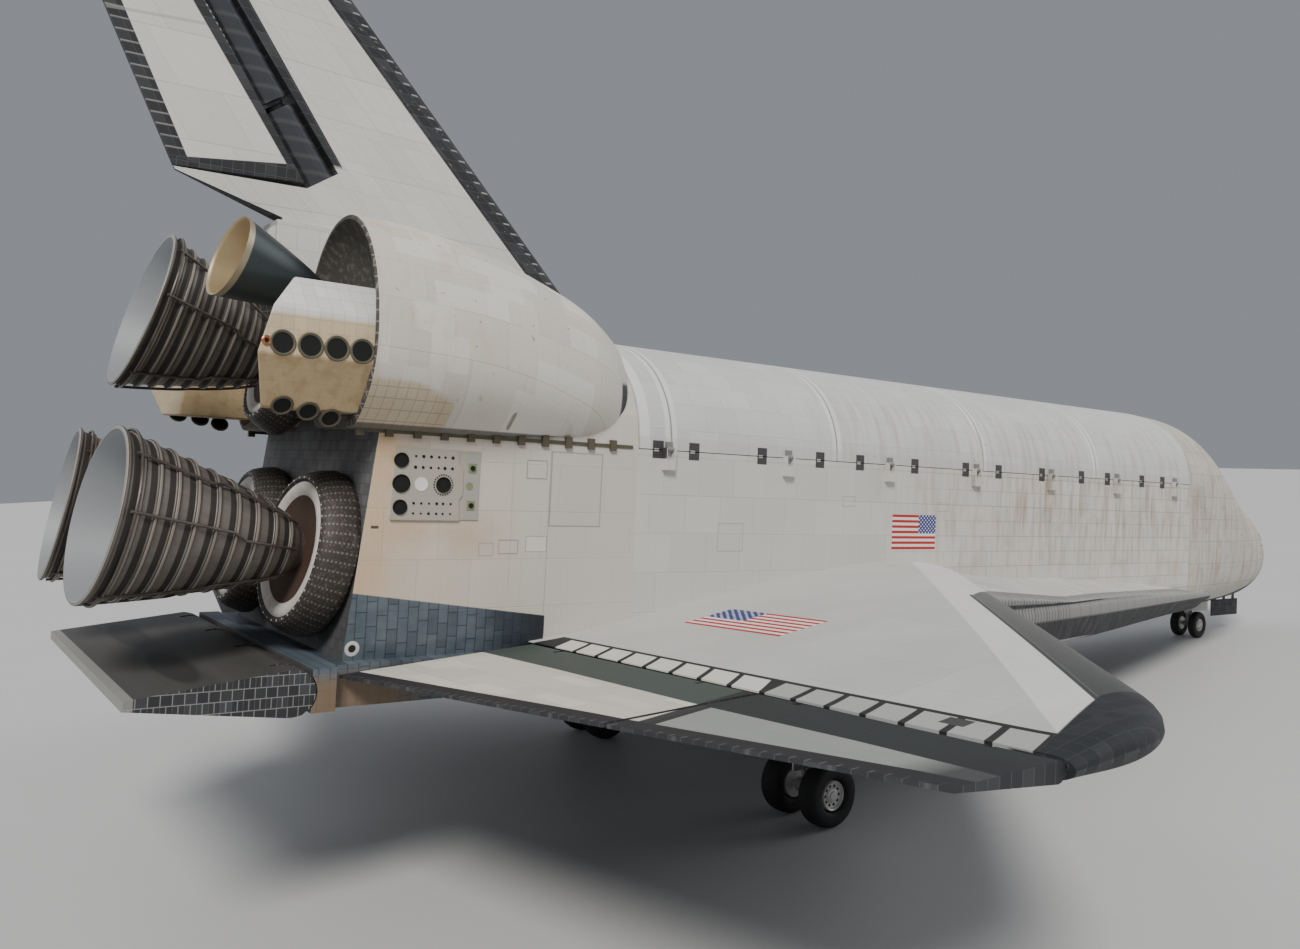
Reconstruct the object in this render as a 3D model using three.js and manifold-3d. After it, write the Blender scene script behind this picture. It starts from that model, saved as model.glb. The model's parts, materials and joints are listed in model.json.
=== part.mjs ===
// A winged space orbiter standing on its landing gear, built as separate pieces.
// The model is in millimetres: +X is starboard, +Y points to the nose and +Z is up.
// Shapes are written in the vehicle's own stations, in inches: aft of the datum, to starboard
// and up. stationPoint turns such a triple into the airframe's frame.

import * as THREE from 'three';
import { mergeVertices } from 'three/addons/utils/BufferGeometryUtils.js';
import Module from 'manifold-3d';

const wasm = await Module();
wasm.setup();

// Driving dimensions
const INCH = 25.4;
const DEGREE = Math.PI / 180;
const REFERENCE_STATION = 1000;
const FIT = 0.3 / INCH; // gap between two pieces that touch
const GROUND_PITCH = 4.8 * DEGREE; // the nose stands lower than the tail

const CAP_STATION = 262; // aft edge of the nose cap
const BAY_START = 582;
const BAY_END = 1307;
const BAY_RADIUS = 93;
const BAY_AXIS_HEIGHT = 400;
const LONGERON_HEIGHT = 420; // where side wall and bay door meet
const HULL_HALF_WIDTH = 102;
const DOOR_THICKNESS = 5;
const WALL = 4; // cabin wall
const CABIN_FORE = 402;
const CABIN_AFT = 574;
const FLIGHT_DECK_HEIGHT = 408;
const BASE_STATION = 1489; // aft bulkhead, at BAY_AXIS_HEIGHT
const BASE_SLOPE = -0.11; // station inches per inch of height

const NOSE_GEAR = { station: 378, radius: 16, width: 8.8, spacing: 22 };
const MAIN_GEAR = { station: 1172.7, lateral: 136, height: 190.6, radius: 22.25, width: 16, spacing: 37 };
const NOSE_WELL = { fore: 292, aft: 392, halfWidth: 19, roof: 322 };
const MAIN_WELL = { fore: 1092, aft: 1216, inner: 108, outer: 166, roof: 311 };

// Colours
const finish = (colour, roughness, metalness = 0) =>
  new THREE.MeshStandardMaterial({ color: colour, roughness, metalness });
const WHITE = finish('#d8d5cf', 0.85);
const BLANKET = finish('#dedad2', 0.95);
const DOOR_WHITE = finish('#cfd0d2', 0.8);
const BLACK_TILE = finish('#24262a', 0.6);
const CARBON = finish('#7d7f7b', 0.5);
const STEEL = finish('#8f8f8c', 0.35, 0.9);
const NOZZLE = finish('#6b655e', 0.45, 0.8);
const SHIELD = finish('#3a3733', 0.7, 0.3);
const GLASS = finish('#1c2228', 0.08);
const RUBBER = finish('#1d1d1e', 0.9);
const CABIN = finish('#8f9498', 0.7);

// Places

function stationPoint(station, lateral, height) {
  return new THREE.Vector3(lateral * INCH, (REFERENCE_STATION - station) * INCH, height * INCH);
}

function stationDirection(station, lateral, height) {
  return new THREE.Vector3(lateral, -station, height).normalize();
}

const mix = (a, b, t) => a + (b - a) * t;
const SIDEWAYS = new THREE.Vector3(1, 0, 0);

// Closed meshes

function weld(geometry) {
  geometry.deleteAttribute('normal');
  geometry.deleteAttribute('uv');
  const merged = mergeVertices(geometry, 1e-3);
  const kept = [];
  for (let i = 0; i < merged.index.count; i += 3) {
    const [a, b, c] = [0, 1, 2].map((k) => merged.index.getX(i + k));
    if (a !== b && b !== c && a !== c) kept.push(a, b, c);
  }
  merged.setIndex(kept);
  return merged;
}

function signedVolume(positions, triangles) {
  const corner = (i) => new THREE.Vector3(positions[3 * i], positions[3 * i + 1], positions[3 * i + 2]);
  let volume = 0;
  for (let i = 0; i < triangles.length; i += 3) {
    const [a, b, c] = [0, 1, 2].map((k) => corner(triangles[i + k]));
    volume += a.dot(b.cross(c)) / 6;
  }
  return volume;
}

// Skins rings of equally many points. A ring runs out along one side and back along the other,
// so its first half faces its second half and the end caps are strips between the two. The
// diagonals of the two halves are mirror images of each other, as port is of starboard.
function loft(rings) {
  const count = rings[0].length;
  const last = (rings.length - 1) * count;
  const triangles = [];
  for (let start = 0; start < last; start += count) {
    for (let k = 0; k < count; k += 1) {
      const a = start + k;
      const b = start + ((k + 1) % count);
      if (k < count / 2) triangles.push(a, b, b + count, a, b + count, a + count);
      else triangles.push(a, b, a + count, b, b + count, a + count);
    }
  }
  for (let k = 0; k + 1 < count / 2; k += 1) {
    const across = count - 1 - k;
    triangles.push(k, across, k + 1, k + 1, across, across - 1);
    triangles.push(last + k, last + k + 1, last + across, last + k + 1, last + across - 1, last + across);
  }
  const positions = rings.flat().flatMap((point) => point.toArray());
  if (signedVolume(positions, triangles) < 0) triangles.reverse();
  const geometry = new THREE.BufferGeometry();
  geometry.setAttribute('position', new THREE.Float32BufferAttribute(positions, 3));
  geometry.setIndex(triangles);
  return geometry;
}

function toSolid(geometry) {
  return new wasm.Manifold(
    new wasm.Mesh({
      numProp: 3,
      vertProperties: new Float32Array(geometry.attributes.position.array),
      triVerts: new Uint32Array(geometry.index.array),
    }),
  );
}

function toGeometry(solid) {
  const mesh = solid.getMesh();
  const geometry = new THREE.BufferGeometry();
  geometry.setAttribute('position', new THREE.BufferAttribute(mesh.vertProperties, 3));
  geometry.setIndex(new THREE.BufferAttribute(mesh.triVerts, 1));
  return geometry;
}

const join = (...pieces) => toGeometry(pieces.map(toSolid).reduce((a, b) => a.add(b)));
const cut = (piece, ...tools) =>
  toGeometry(tools.map(toSolid).reduce((a, b) => a.subtract(b), toSolid(piece)));
const common = (a, b) => toGeometry(toSolid(a).intersect(toSolid(b)));

function mirrored(geometry) {
  const copy = geometry.clone().scale(-1, 1, 1);
  copy.setIndex([...copy.index.array].reverse());
  return copy;
}

// Simple shapes, in stations

function block(fore, aft, inner, outer, low, high) {
  const size = [outer - inner, aft - fore, high - low].map((length) => length * INCH);
  const centre = stationPoint((fore + aft) / 2, (inner + outer) / 2, (low + high) / 2);
  return weld(new THREE.BoxGeometry(...size)).translate(...centre.toArray());
}

// A box with its own axes: along, across and up are unit vectors, sizes are inches.
function turnedBlock(centre, along, across, sizes) {
  const up = new THREE.Vector3().crossVectors(across, along).normalize();
  const basis = new THREE.Matrix4().makeBasis(across, along, up).setPosition(centre);
  const [length, width, height] = sizes.map((size) => size * INCH);
  return weld(new THREE.BoxGeometry(width, length, height)).applyMatrix4(basis);
}

function aim(geometry, from, direction) {
  const turn = new THREE.Quaternion().setFromUnitVectors(new THREE.Vector3(0, 1, 0), direction);
  return geometry.applyQuaternion(turn).translate(...from.toArray());
}

function rod(from, to, radius, sides = 12, endRadius = radius) {
  const span = new THREE.Vector3().subVectors(to, from);
  const cylinder = new THREE.CylinderGeometry(endRadius * INCH, radius * INCH, span.length(), sides);
  const middle = new THREE.Vector3().addVectors(from, to).multiplyScalar(0.5);
  return aim(weld(cylinder), middle, span.normalize());
}

// A hole that a pin of this radius turns in. Its flats clear the pin's corners at every angle,
// and it has another number of sides than the pin has.
const bore = (from, to, pinRadius, sides = 16) =>
  rod(from, to, (pinRadius + FIT) / Math.cos(Math.PI / sides), sides);

// Turns a closed profile of [radius, distance along the axis] pairs.
function turned(profile, segments, from, direction) {
  const points = profile.map(([radius, along]) => new THREE.Vector2(radius * INCH, along * INCH));
  const geometry = weld(new THREE.LatheGeometry(points, segments));
  const indices = [...geometry.index.array];
  if (signedVolume(geometry.attributes.position.array, indices) < 0) geometry.setIndex(indices.reverse());
  return aim(geometry, from, direction);
}

// A flat-sided slab: corners are [station, height], or [station, lateral] where flat is true.
function slab(corners, low, high, flat = false) {
  const place = flat
    ? ([station, lateral], level) => stationPoint(station, lateral, level)
    : ([station, height], level) => stationPoint(station, level, height);
  return loft([low, high].map((level) => corners.map((corner) => place(corner, level))));
}

// Hull
// Columns: station, half width, bottom, height of the widest line, top, and the powers of the
// two superellipses that round the section below and above that line.
const HULL = [
  [236, 1.5, 334.5, 336, 337.5, 2, 2],
  [239, 11, 325, 336.5, 348, 2, 2],
  [246, 20.5, 314.5, 337, 358.5, 2, 2],
  [262, 34, 302.5, 338, 371, 2, 2.05],
  [285, 47, 294.5, 339, 384, 2.1, 2.05],
  [320, 61, 288.5, 341, 401, 2.3, 2.1],
  [360, 73, 285, 345, 418, 2.6, 2.1],
  [405, 83, 283.5, 354, 437, 3, 2.1],
  [440, 90, 283, 368, 462, 3.5, 2.1],
  [478, 95.5, 282.5, 384, 485, 4, 2.15],
  [520, 99.5, 282.5, 404, 496, 5, 2.2],
  [BAY_START, HULL_HALF_WIDTH, 282, LONGERON_HEIGHT, 500, 10, 2.2],
  [BAY_END, HULL_HALF_WIDTH, 272, LONGERON_HEIGHT, 500, 12, 2.2],
  [1520, HULL_HALF_WIDTH, 269, LONGERON_HEIGHT, 500, 12, 2.2],
];
const HULL_POINTS = 26;

function hullValues(station) {
  const next = Math.max(1, HULL.findIndex(([s]) => s >= station));
  const t = (station - HULL[next - 1][0]) / (HULL[next][0] - HULL[next - 1][0]);
  return HULL[next].map((value, column) => mix(HULL[next - 1][column], value, t));
}

// A point of the hull's section; angle 0 is starboard and a quarter turn is the top.
function hullPoint(station, angle, inset = 0, slope = 0) {
  const [, halfWidth, bottom, side, top, lowerPower, upperPower] = hullValues(station);
  const cleaned = (share) => (Math.abs(share) < 1e-9 ? 0 : share);
  const [across, up] = [Math.cos(angle), Math.sin(angle)].map(cleaned);
  const power = 2 / (up >= 0 ? upperPower : lowerPower);
  const reach = up >= 0 ? top - side - inset : side - bottom - inset;
  const lateral = (halfWidth - inset) * Math.sign(across) * Math.abs(across) ** power;
  const height = side + reach * Math.sign(up) * Math.abs(up) ** power;
  return stationPoint(station + slope * (height - BAY_AXIS_HEIGHT), lateral, height);
}

function hullRing(station, inset = 0, slope = 0) {
  return Array.from({ length: HULL_POINTS }, (_, k) => {
    const angle = -Math.PI / 2 + ((k + 0.5) * 2 * Math.PI) / HULL_POINTS;
    return hullPoint(station, angle, inset, slope);
  });
}

function hullLoft(fore, aft, inset = 0, aftSlope = 0) {
  const between = HULL.map(([station]) => station).filter((s) => s > fore + 2 && s < aft - 2);
  const rings = [fore, ...between].map((station) => hullRing(station, inset));
  return loft([...rings, hullRing(aft, inset, aftSlope)]);
}

const aftHull = hullLoft(BAY_END + FIT, BASE_STATION, 0, BASE_SLOPE);
const aftHullWithGap = hullLoft(BAY_END - 40, BASE_STATION + FIT, -FIT, BASE_SLOPE);
const hullWithGap = hullLoft(400, BASE_STATION, -FIT);

// Hinges of the control surfaces
// A lug of the fixed structure stands in a slot of the surface, on a pin of the surface.
const LUG_REACH = 0.5; // lug radius as a share of the surface's nose radius
const PIN_REACH = 0.2;
const LUG_THICKNESS = 3;
const SLOT_CLEARANCE = 0.4;

function hingeParts(from, to, radii, shares, forward, noseGap) {
  const axis = new THREE.Vector3().subVectors(to, from).normalize();
  const parts = { slots: [], lugs: [], bores: [], pins: [] };
  for (const share of shares) {
    const centre = new THREE.Vector3().lerpVectors(from, to, share);
    const radius = mix(radii[0], radii[1], share);
    const lugRadius = radius * LUG_REACH;
    const pinRadius = radius * PIN_REACH;
    const shifted = (along, sideways) =>
      centre.clone().addScaledVector(forward, along * INCH).addScaledVector(axis, sideways * INCH);
    const half = LUG_THICKNESS / 2;
    const slotLength = 3 * radius + lugRadius + SLOT_CLEARANCE;
    const slotCentre = shifted(slotLength / 2 - lugRadius - SLOT_CLEARANCE, 0);
    const slotSizes = [slotLength, LUG_THICKNESS + 2 * SLOT_CLEARANCE, 4 * radius];
    parts.slots.push(turnedBlock(slotCentre, forward, axis, slotSizes));
    const armLength = radius + noseGap + 4;
    const armSizes = [armLength, LUG_THICKNESS, 2 * lugRadius];
    const arm = turnedBlock(shifted(armLength / 2, 0), forward, axis, armSizes);
    parts.lugs.push(join(arm, rod(shifted(0, -half), shifted(0, half), lugRadius)));
    const pinHalf = half + SLOT_CLEARANCE + 1;
    parts.pins.push(rod(shifted(0, -pinHalf), shifted(0, pinHalf), pinRadius));
    parts.bores.push(bore(shifted(0, -pinHalf), shifted(0, pinHalf), pinRadius));
  }
  return parts;
}

// A surface that tapers aft from a round nose about its hinge axis. An end names its hinge
// point, its nose radius, and the station and height of its trailing edge.
const NOSE_STEPS = 4;

function surfaceRing({ station, lateral, height, radius, tail, tailHeight, tailHalf }) {
  const nose = Array.from({ length: NOSE_STEPS }, (_, k) => {
    const angle = Math.PI - ((Math.PI / 2) * (k + 0.5)) / (NOSE_STEPS - 0.5);
    return [station + radius * Math.cos(angle), radius * Math.sin(angle)];
  });
  const upper = nose.map(([s, rise]) => stationPoint(s, lateral, height + rise));
  const lower = nose.map(([s, rise]) => stationPoint(s, lateral, height - rise));
  const tailTop = stationPoint(tail, lateral, tailHeight + tailHalf);
  const tailBottom = stationPoint(tail, lateral, tailHeight - tailHalf);
  return [...upper, tailTop, tailBottom, ...lower.reverse()];
}

// Forward fuselage

// Columns: station, lateral, height of the pane's middle, yaw from dead ahead and pitch above
// level of its outward direction in degrees, width, height.
const WINDSHIELDS = [
  [434, 14, 457, 6, 50, 20, 26],
  [441, 39, 452, 33, 46, 20, 25],
  [459, 64, 446, 62, 40, 24, 22],
];
const OVERHEAD_WINDOW = [512, 15, 495, 0, 88, 19, 19];
const AFT_WINDOW = { lateral: 15, halfWidth: 8, low: 452, high: 474 };
const HATCH = { station: 511, height: 350, radius: 20, gap: 0.4 };
const HATCH_AXIS = { lateral: -99.6, height: 328.5, pin: 0.4, arms: [-4, 4], lugs: [-7, 7] };
const MODULE = { fore: 268, aft: 341, halfWidth: 70, bottom: 352 };

function windowTool([station, lateral, height, yaw, pitch, width, tall]) {
  const ahead = Math.cos(pitch * DEGREE);
  const outward = stationDirection(
    -ahead * Math.cos(yaw * DEGREE), ahead * Math.sin(yaw * DEGREE), Math.sin(pitch * DEGREE));
  const across = new THREE.Vector3(Math.cos(yaw * DEGREE), -Math.sin(yaw * DEGREE), 0);
  return turnedBlock(stationPoint(station, lateral, height), outward, across, [26, width, tall]);
}

const noseLoft = hullLoft(HULL[0][0], BAY_START - FIT);
const cabinSpace = hullLoft(CABIN_FORE, CABIN_AFT, WALL);
const capRegion = block(200, CAP_STATION, -150, 150, 200, 500);
const capRegionWithGap = block(200, CAP_STATION + FIT, -150, 150, 200, 500);
const moduleRegion = block(MODULE.fore, MODULE.aft, -MODULE.halfWidth, MODULE.halfWidth, MODULE.bottom, 500);
const moduleRegionWithGap = block(
  MODULE.fore - FIT, MODULE.aft + FIT, -MODULE.halfWidth, MODULE.halfWidth, MODULE.bottom - FIT, 500);
const noseWell = block(
  NOSE_WELL.fore, NOSE_WELL.aft, -NOSE_WELL.halfWidth, NOSE_WELL.halfWidth, 250, NOSE_WELL.roof);
const windowTools = [...WINDSHIELDS, OVERHEAD_WINDOW].flatMap((row) => {
  const tool = windowTool(row);
  return [tool, mirrored(tool)];
});
const aftWindow = block(CABIN_AFT - 4, BAY_START + 4, AFT_WINDOW.lateral - AFT_WINDOW.halfWidth,
  AFT_WINDOW.lateral + AFT_WINDOW.halfWidth, AFT_WINDOW.low, AFT_WINDOW.high);

const hatchRod = (radius) => {
  const [outside, inside] = [-120, -70].map((lateral) => stationPoint(HATCH.station, lateral, HATCH.height));
  return rod(outside, inside, radius, 24);
};
const hatchPinEnds = [-1, 1].map((side) => stationPoint(
  HATCH.station + side * HATCH_AXIS.lugs[1], HATCH_AXIS.lateral, HATCH_AXIS.height));
const hatchLug = (offset) => block(
  HATCH.station + offset - 1, HATCH.station + offset + 1, HATCH_AXIS.lateral - 0.9, -93,
  HATCH_AXIS.height - 0.9, HATCH_AXIS.height + 0.9);
const hatchArm = (offset) => {
  const span = [HATCH.station + offset - 1, HATCH.station + offset + 1];
  const strap = block(...span, HATCH_AXIS.lateral - 0.8, -98.2, HATCH_AXIS.height - 0.8, 335);
  return join(strap, block(...span, HATCH_AXIS.lateral - 0.8, -95.5, 331.2, 335));
};

const forwardFuselage = join(
  cut(noseLoft, capRegionWithGap, moduleRegionWithGap, cabinSpace, noseWell, ...windowTools,
    aftWindow, mirrored(aftWindow), hatchRod(HATCH.radius + HATCH.gap)),
  ...HATCH_AXIS.lugs.map(hatchLug),
  rod(...hatchPinEnds, HATCH_AXIS.pin),
);
const noseCap = common(noseLoft, capRegion);
const forwardModule = common(cut(noseLoft, capRegionWithGap), moduleRegion);
const crewHatch = cut(
  join(common(cut(noseLoft, cabinSpace), hatchRod(HATCH.radius)), ...HATCH_AXIS.arms.map(hatchArm)),
  bore(...hatchPinEnds, HATCH_AXIS.pin),
);

// Panes stand against the inside of the cabin wall, one curved sheet behind each set.
const GLASS_THICKNESS = 1;
const liner = cut(
  hullLoft(CABIN_FORE + FIT, CABIN_AFT - FIT, WALL + FIT),
  hullLoft(CABIN_FORE + 1, CABIN_AFT - 1, WALL + FIT + GLASS_THICKNESS),
);
const windshieldGlass = common(liner, block(414, 478, -84, 84, 432, 500));
const overheadGlass = common(liner, block(498, 526, -30, 30, 470, 500));
const aftGlass = block(CABIN_AFT - FIT - GLASS_THICKNESS, CABIN_AFT - FIT, -26, 26, 449, 477);

// Flight deck: the floor, two seats and the instrument panel, one built-in assembly.
const SEATS = { station: 462, lateral: 20, width: 18, cushion: 16, head: 46 };
const onDeck = (fore, aft, inner, outer, height) =>
  block(fore, aft, inner, outer, FLIGHT_DECK_HEIGHT - 1, FLIGHT_DECK_HEIGHT + height);
const deckFloor = common(
  hullLoft(CABIN_FORE + FIT, CABIN_AFT - FIT, WALL + FIT),
  block(430, CABIN_AFT - 2, -110, 110, FLIGHT_DECK_HEIGHT - 3, FLIGHT_DECK_HEIGHT),
);
const flightDeck = join(
  deckFloor,
  onDeck(436, 446, -34, 34, 20),
  ...[-1, 1].flatMap((side) => {
    const inner = side * SEATS.lateral - SEATS.width / 2;
    const outer = inner + SEATS.width;
    return [
      onDeck(SEATS.station, SEATS.station + 20, inner, outer, SEATS.cushion),
      onDeck(SEATS.station + 18, SEATS.station + 23, inner, outer, SEATS.head),
    ];
  }),
);

// Mid fuselage and bay doors

const BAY_HINGE = { lateral: 104.4, height: 421, radius: 1.5, pin: 0.6, width: 5 };
const BAY_HINGE_STATIONS = [617, 728, 839, 950, 1061, 1172, 1283];
const ARC_STEPS = 8;

// The section of the bay: round below its axis and straight up to the longerons.
function bayRing(station) {
  const arc = Array.from({ length: 2 * ARC_STEPS }, (_, k) => {
    const angle = -Math.PI + (Math.PI * k) / (2 * ARC_STEPS - 1);
    const height = BAY_AXIS_HEIGHT + BAY_RADIUS * Math.sin(angle);
    return stationPoint(station, BAY_RADIUS * Math.cos(angle), height);
  });
  const top = LONGERON_HEIGHT + 10;
  return [...arc, stationPoint(station, BAY_RADIUS, top), stationPoint(station, -BAY_RADIUS, top)];
}

function doorRing(station) {
  const arc = (inset) => Array.from({ length: ARC_STEPS + 1 }, (_, k) => {
    const angle = (Math.PI / 2) * (k / ARC_STEPS);
    const point = hullPoint(station, angle, inset);
    point.x = Math.max(point.x, 0.4 * INCH);
    point.z += 1.2 * INCH * (1 - k / ARC_STEPS);
    return point;
  });
  return [...arc(0), ...arc(DOOR_THICKNESS).reverse()];
}

const bayHingeEnds = (station, halfLength) => [-halfLength, halfLength].map((offset) => stationPoint(
  station + offset, BAY_HINGE.lateral, BAY_HINGE.height));

function trayLug(station) {
  const { lateral, height, radius, pin, width } = BAY_HINGE;
  const half = width / 2;
  const outer = lateral + radius;
  const cheeks = [-1, 1].map((side) => {
    const middle = station + side * (half + 1.2);
    return block(middle - 0.8, middle + 0.8, HULL_HALF_WIDTH + 0.4, outer, height - 8, height + 0.9);
  });
  const base = block(station - half - 2, station + half + 2, 101, outer, height - 14, height - 7);
  return join(base, ...cheeks, rod(...bayHingeEnds(station, half + 2), pin, 8));
}

function doorKnuckle(station) {
  const { lateral, height, radius, width } = BAY_HINGE;
  const half = width / 2;
  const arm = block(station - half, station + half, 99, lateral, height + 0.1, height + 5);
  return join(arm, rod(...bayHingeEnds(station, half), radius, 8));
}

const trayBody = cut(
  hullLoft(BAY_START + FIT, BAY_END - FIT),
  block(BAY_START - 9, BAY_END + 9, -130, 130, LONGERON_HEIGHT, 520),
  loft([BAY_START - 5, BAY_END + 5].map(bayRing)),
);
const starboardLugs = BAY_HINGE_STATIONS.map(trayLug);
const midFuselage = join(trayBody, ...starboardLugs, ...starboardLugs.map(mirrored));
const bayDoor = cut(
  join(loft([BAY_START + 1, BAY_END - 1].map(doorRing)), ...BAY_HINGE_STATIONS.map(doorKnuckle)),
  ...BAY_HINGE_STATIONS.map((station) => bore(...bayHingeEnds(station, BAY_HINGE.width), BAY_HINGE.pin, 10)),
);

// Wing

const WING_ROOT = 88; // inside the hull's side, trimmed to it
const WING_TIP = 468;
const HINGE_STATION = 1387;
const LEADING_EDGE_OFFSET = 836; // station of the main leading edge is this plus the lateral
const GLOVE = { fore: 500, aft: 1040, slope: 6.31 }; // station inches per lateral inch
// Columns: lateral, edge height, hinge height, upper and lower bulge, upper and lower depth at
// the hinge.
const WING_SECTIONS = [
  [WING_ROOT, 304, 284, 42, 23, 13, 13.5],
  [WING_TIP, 312, 308, 7, 5, 4, 4],
];
const CHORD_SHARES = [0.002, 0.014, 0.05, 0.12, 0.25, 0.45, 0.7, 1];

function wingRing([lateral, edgeHeight, hingeHeight, upperBulge, lowerBulge, upperDepth, lowerDepth]) {
  const fore = LEADING_EDGE_OFFSET + lateral;
  const side = (bulge, depth, sign) => CHORD_SHARES.map((t) => {
    const thickness = bulge * 2.99 * Math.sqrt(t) * (1 - t) ** 1.4 + depth * t;
    const height = mix(edgeHeight, hingeHeight, t) + sign * thickness;
    return stationPoint(mix(fore, HINGE_STATION, t), lateral, height);
  });
  return [...side(upperBulge, upperDepth, 1), ...side(lowerBulge, lowerDepth, -1).reverse()];
}

function gloveRing(station) {
  const edge = HULL_HALF_WIDTH + (station - GLOVE.fore) / GLOVE.slope;
  const [, , bottom] = hullValues(station);
  const upper = 327 + (station > 900 ? (station - 900) * 0.08 : 0);
  const inner = WING_ROOT;
  return [
    stationPoint(station, inner, upper + 2),
    stationPoint(station, edge - 8, upper - 9),
    stationPoint(station, edge - 1.5, 311),
    stationPoint(station, edge, 304),
    stationPoint(station, edge - 2, 296),
    stationPoint(station, edge - 8, bottom + 5),
    stationPoint(station, edge - 16, bottom + 0.5),
    stationPoint(station, inner, bottom),
  ];
}

const elevonHinge = (lateral) => {
  const t = (lateral - WING_ROOT) / (WING_TIP - WING_ROOT);
  const [root, tip] = WING_SECTIONS;
  const height = mix(root[2], tip[2], t);
  return { station: HINGE_STATION, lateral, height, radius: mix(12.8, 3.9, t) };
};
const elevonEnd = (lateral) => {
  const hinge = elevonHinge(lateral);
  return { ...hinge, tail: 1525.24 - 0.1773 * lateral, tailHeight: hinge.height + 1.5, tailHalf: 0.9 };
};
const ELEVONS = [
  { name: 'inboard', inner: 112, outer: 311 },
  { name: 'outboard', inner: 314, outer: 464 },
];
const ELEVON_GAP = 0.5;
const FORWARD = stationDirection(-1, 0, 0);

const hingePoint = ({ station, lateral, height }) => stationPoint(station, lateral, height);
const elevonHinges = ELEVONS.map(({ inner, outer }) => {
  const ends = [elevonHinge(inner), elevonHinge(outer)];
  const radii = ends.map((end) => end.radius);
  return hingeParts(...ends.map(hingePoint), radii, [0.18, 0.82], FORWARD, ELEVON_GAP);
});
const elevonSolids = ELEVONS.map(({ inner, outer }, index) => {
  const body = loft([elevonEnd(inner), elevonEnd(outer)].map(surfaceRing));
  return join(cut(body, ...elevonHinges[index].slots), ...elevonHinges[index].pins);
});

const coveEnds = [elevonHinge(100), elevonHinge(480)];
const coveRadii = coveEnds.map((end) => end.radius + ELEVON_GAP);
const cove = rod(...coveEnds.map(hingePoint), coveRadii[0], 20, coveRadii[1]);
const behindWing = block(HINGE_STATION - 4, 1600, 60, 500, 200, 400);
const mainWell = block(MAIN_WELL.fore, MAIN_WELL.aft, MAIN_WELL.inner, MAIN_WELL.outer, 240, MAIN_WELL.roof);

const edgeRegion = (gap) => slab(
  [[850, 158 - gap], [1200, 478], [1345 + gap, 478], [1025 + gap, 158 - gap]], 200, 420, true);
const wingBody = join(
  loft(WING_SECTIONS.map(wingRing)),
  loft([GLOVE.fore + 4, 900, GLOVE.aft].map(gloveRing)),
);
const trimmedWing = cut(wingBody, hullWithGap);
const wingBox = cut(trimmedWing, edgeRegion(FIT), cove, behindWing, mainWell);
const starboardWing = cut(
  join(wingBox, ...elevonHinges.flatMap(({ lugs }) => lugs)),
  ...elevonHinges.flatMap(({ bores }) => bores),
);
const leadingEdge = common(trimmedWing, edgeRegion(0));

// Aft fuselage and body flap

const FLAP = {
  station: 1532, height: 281, radius: 12.5, halfSpan: 118, tail: 1613, tailHeight: 281.5, tailHalf: 2.5,
};
const flapEnds = [-1, 1].map((side) => ({ ...FLAP, lateral: side * FLAP.halfSpan }));
const flapHinges = hingeParts(...flapEnds.map(hingePoint), [FLAP.radius, FLAP.radius],
  [0.08, 0.36, 0.64, 0.92], FORWARD, ELEVON_GAP);
const bodyFlap = join(cut(loft(flapEnds.map(surfaceRing)), ...flapHinges.slots), ...flapHinges.pins);
const flapCoveEnds = [-130, 130].map((lateral) => stationPoint(FLAP.station, lateral, FLAP.height));
const flapCove = rod(...flapCoveEnds, FLAP.radius + ELEVON_GAP, 20);
const lowerShelf = join(
  block(1390, 1522, -110, 110, 270, 293),
  block(1509, 1522, -FLAP.halfSpan, FLAP.halfSpan, 270, 293),
);
const aftFuselage = cut(
  join(cut(join(aftHull, lowerShelf), flapCove), ...flapHinges.lugs),
  ...flapHinges.bores,
);
const PANEL = { fore: 1423, aft: 1478, low: 371, high: 412, outer: HULL_HALF_WIDTH + 1.2 };
const umbilicalPanel = cut(
  block(PANEL.fore, PANEL.aft, HULL_HALF_WIDTH - 4, PANEL.outer, PANEL.low, PANEL.high),
  aftHullWithGap,
);

// Engine places

// Columns: name, station, lateral and height of the gimbal, pitch and outward yaw of the axis,
// how much farther aft its dome stands, and the dome's radius.
const ENGINES = [
  ['upper', 1445, 0, 443, 16, 0, 25, 44],
  ['port_lower', 1468, -53, 342.6, 10, -3.5, 0, 49],
  ['starboard_lower', 1468, 53, 342.6, 10, 3.5, 0, 49],
];
const tilted = (pitch, yaw) => stationDirection(
  Math.cos(pitch * DEGREE) * Math.cos(yaw * DEGREE),
  Math.cos(pitch * DEGREE) * Math.sin(yaw * DEGREE),
  Math.sin(pitch * DEGREE));
const upperEngine = stationPoint(...ENGINES[0].slice(1, 4));
const upperDomeEnd = upperEngine.clone().addScaledVector(tilted(ENGINES[0][4], 0), 80 * INCH);
const upperDomeSpace = rod(upperEngine, upperDomeEnd, ENGINES[0][7] + 1.5, 24);

// Fin, rudder and speed brake

const FIN = { root: 494, foot: 500, tip: 815.7, fore: 1309 };
const CHUTE = { fore: 1481, aft: 1524, halfWidth: 14, low: 506, high: 549 };
const RUDDER_SLOPE = 0.692;
const rudderAxisStation = (height) => 1519 + (height - 612) * RUDDER_SLOPE;
const finEdge = (height) => 1277.9 + (height - FIN.foot);
const finTail = (height) => 1546.4 + 0.4932 * (height - FIN.foot);
const finHalf = (height) => mix(10.3, 5, (height - 612) / (FIN.tip - 612));
const AXIS_RISE = 1 / Math.hypot(1, RUDDER_SLOPE);
const AXIS_RUN = RUDDER_SLOPE * AXIS_RISE;
const RUDDER_AXIS = stationDirection(AXIS_RUN, 0, AXIS_RISE);
const RUDDER_AFT = stationDirection(AXIS_RISE, 0, -AXIS_RUN);
const RUDDER_FOOT = 579;
const RUDDER_HEAD = 806;
const RUDDER_GAP = 0.5;

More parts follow.
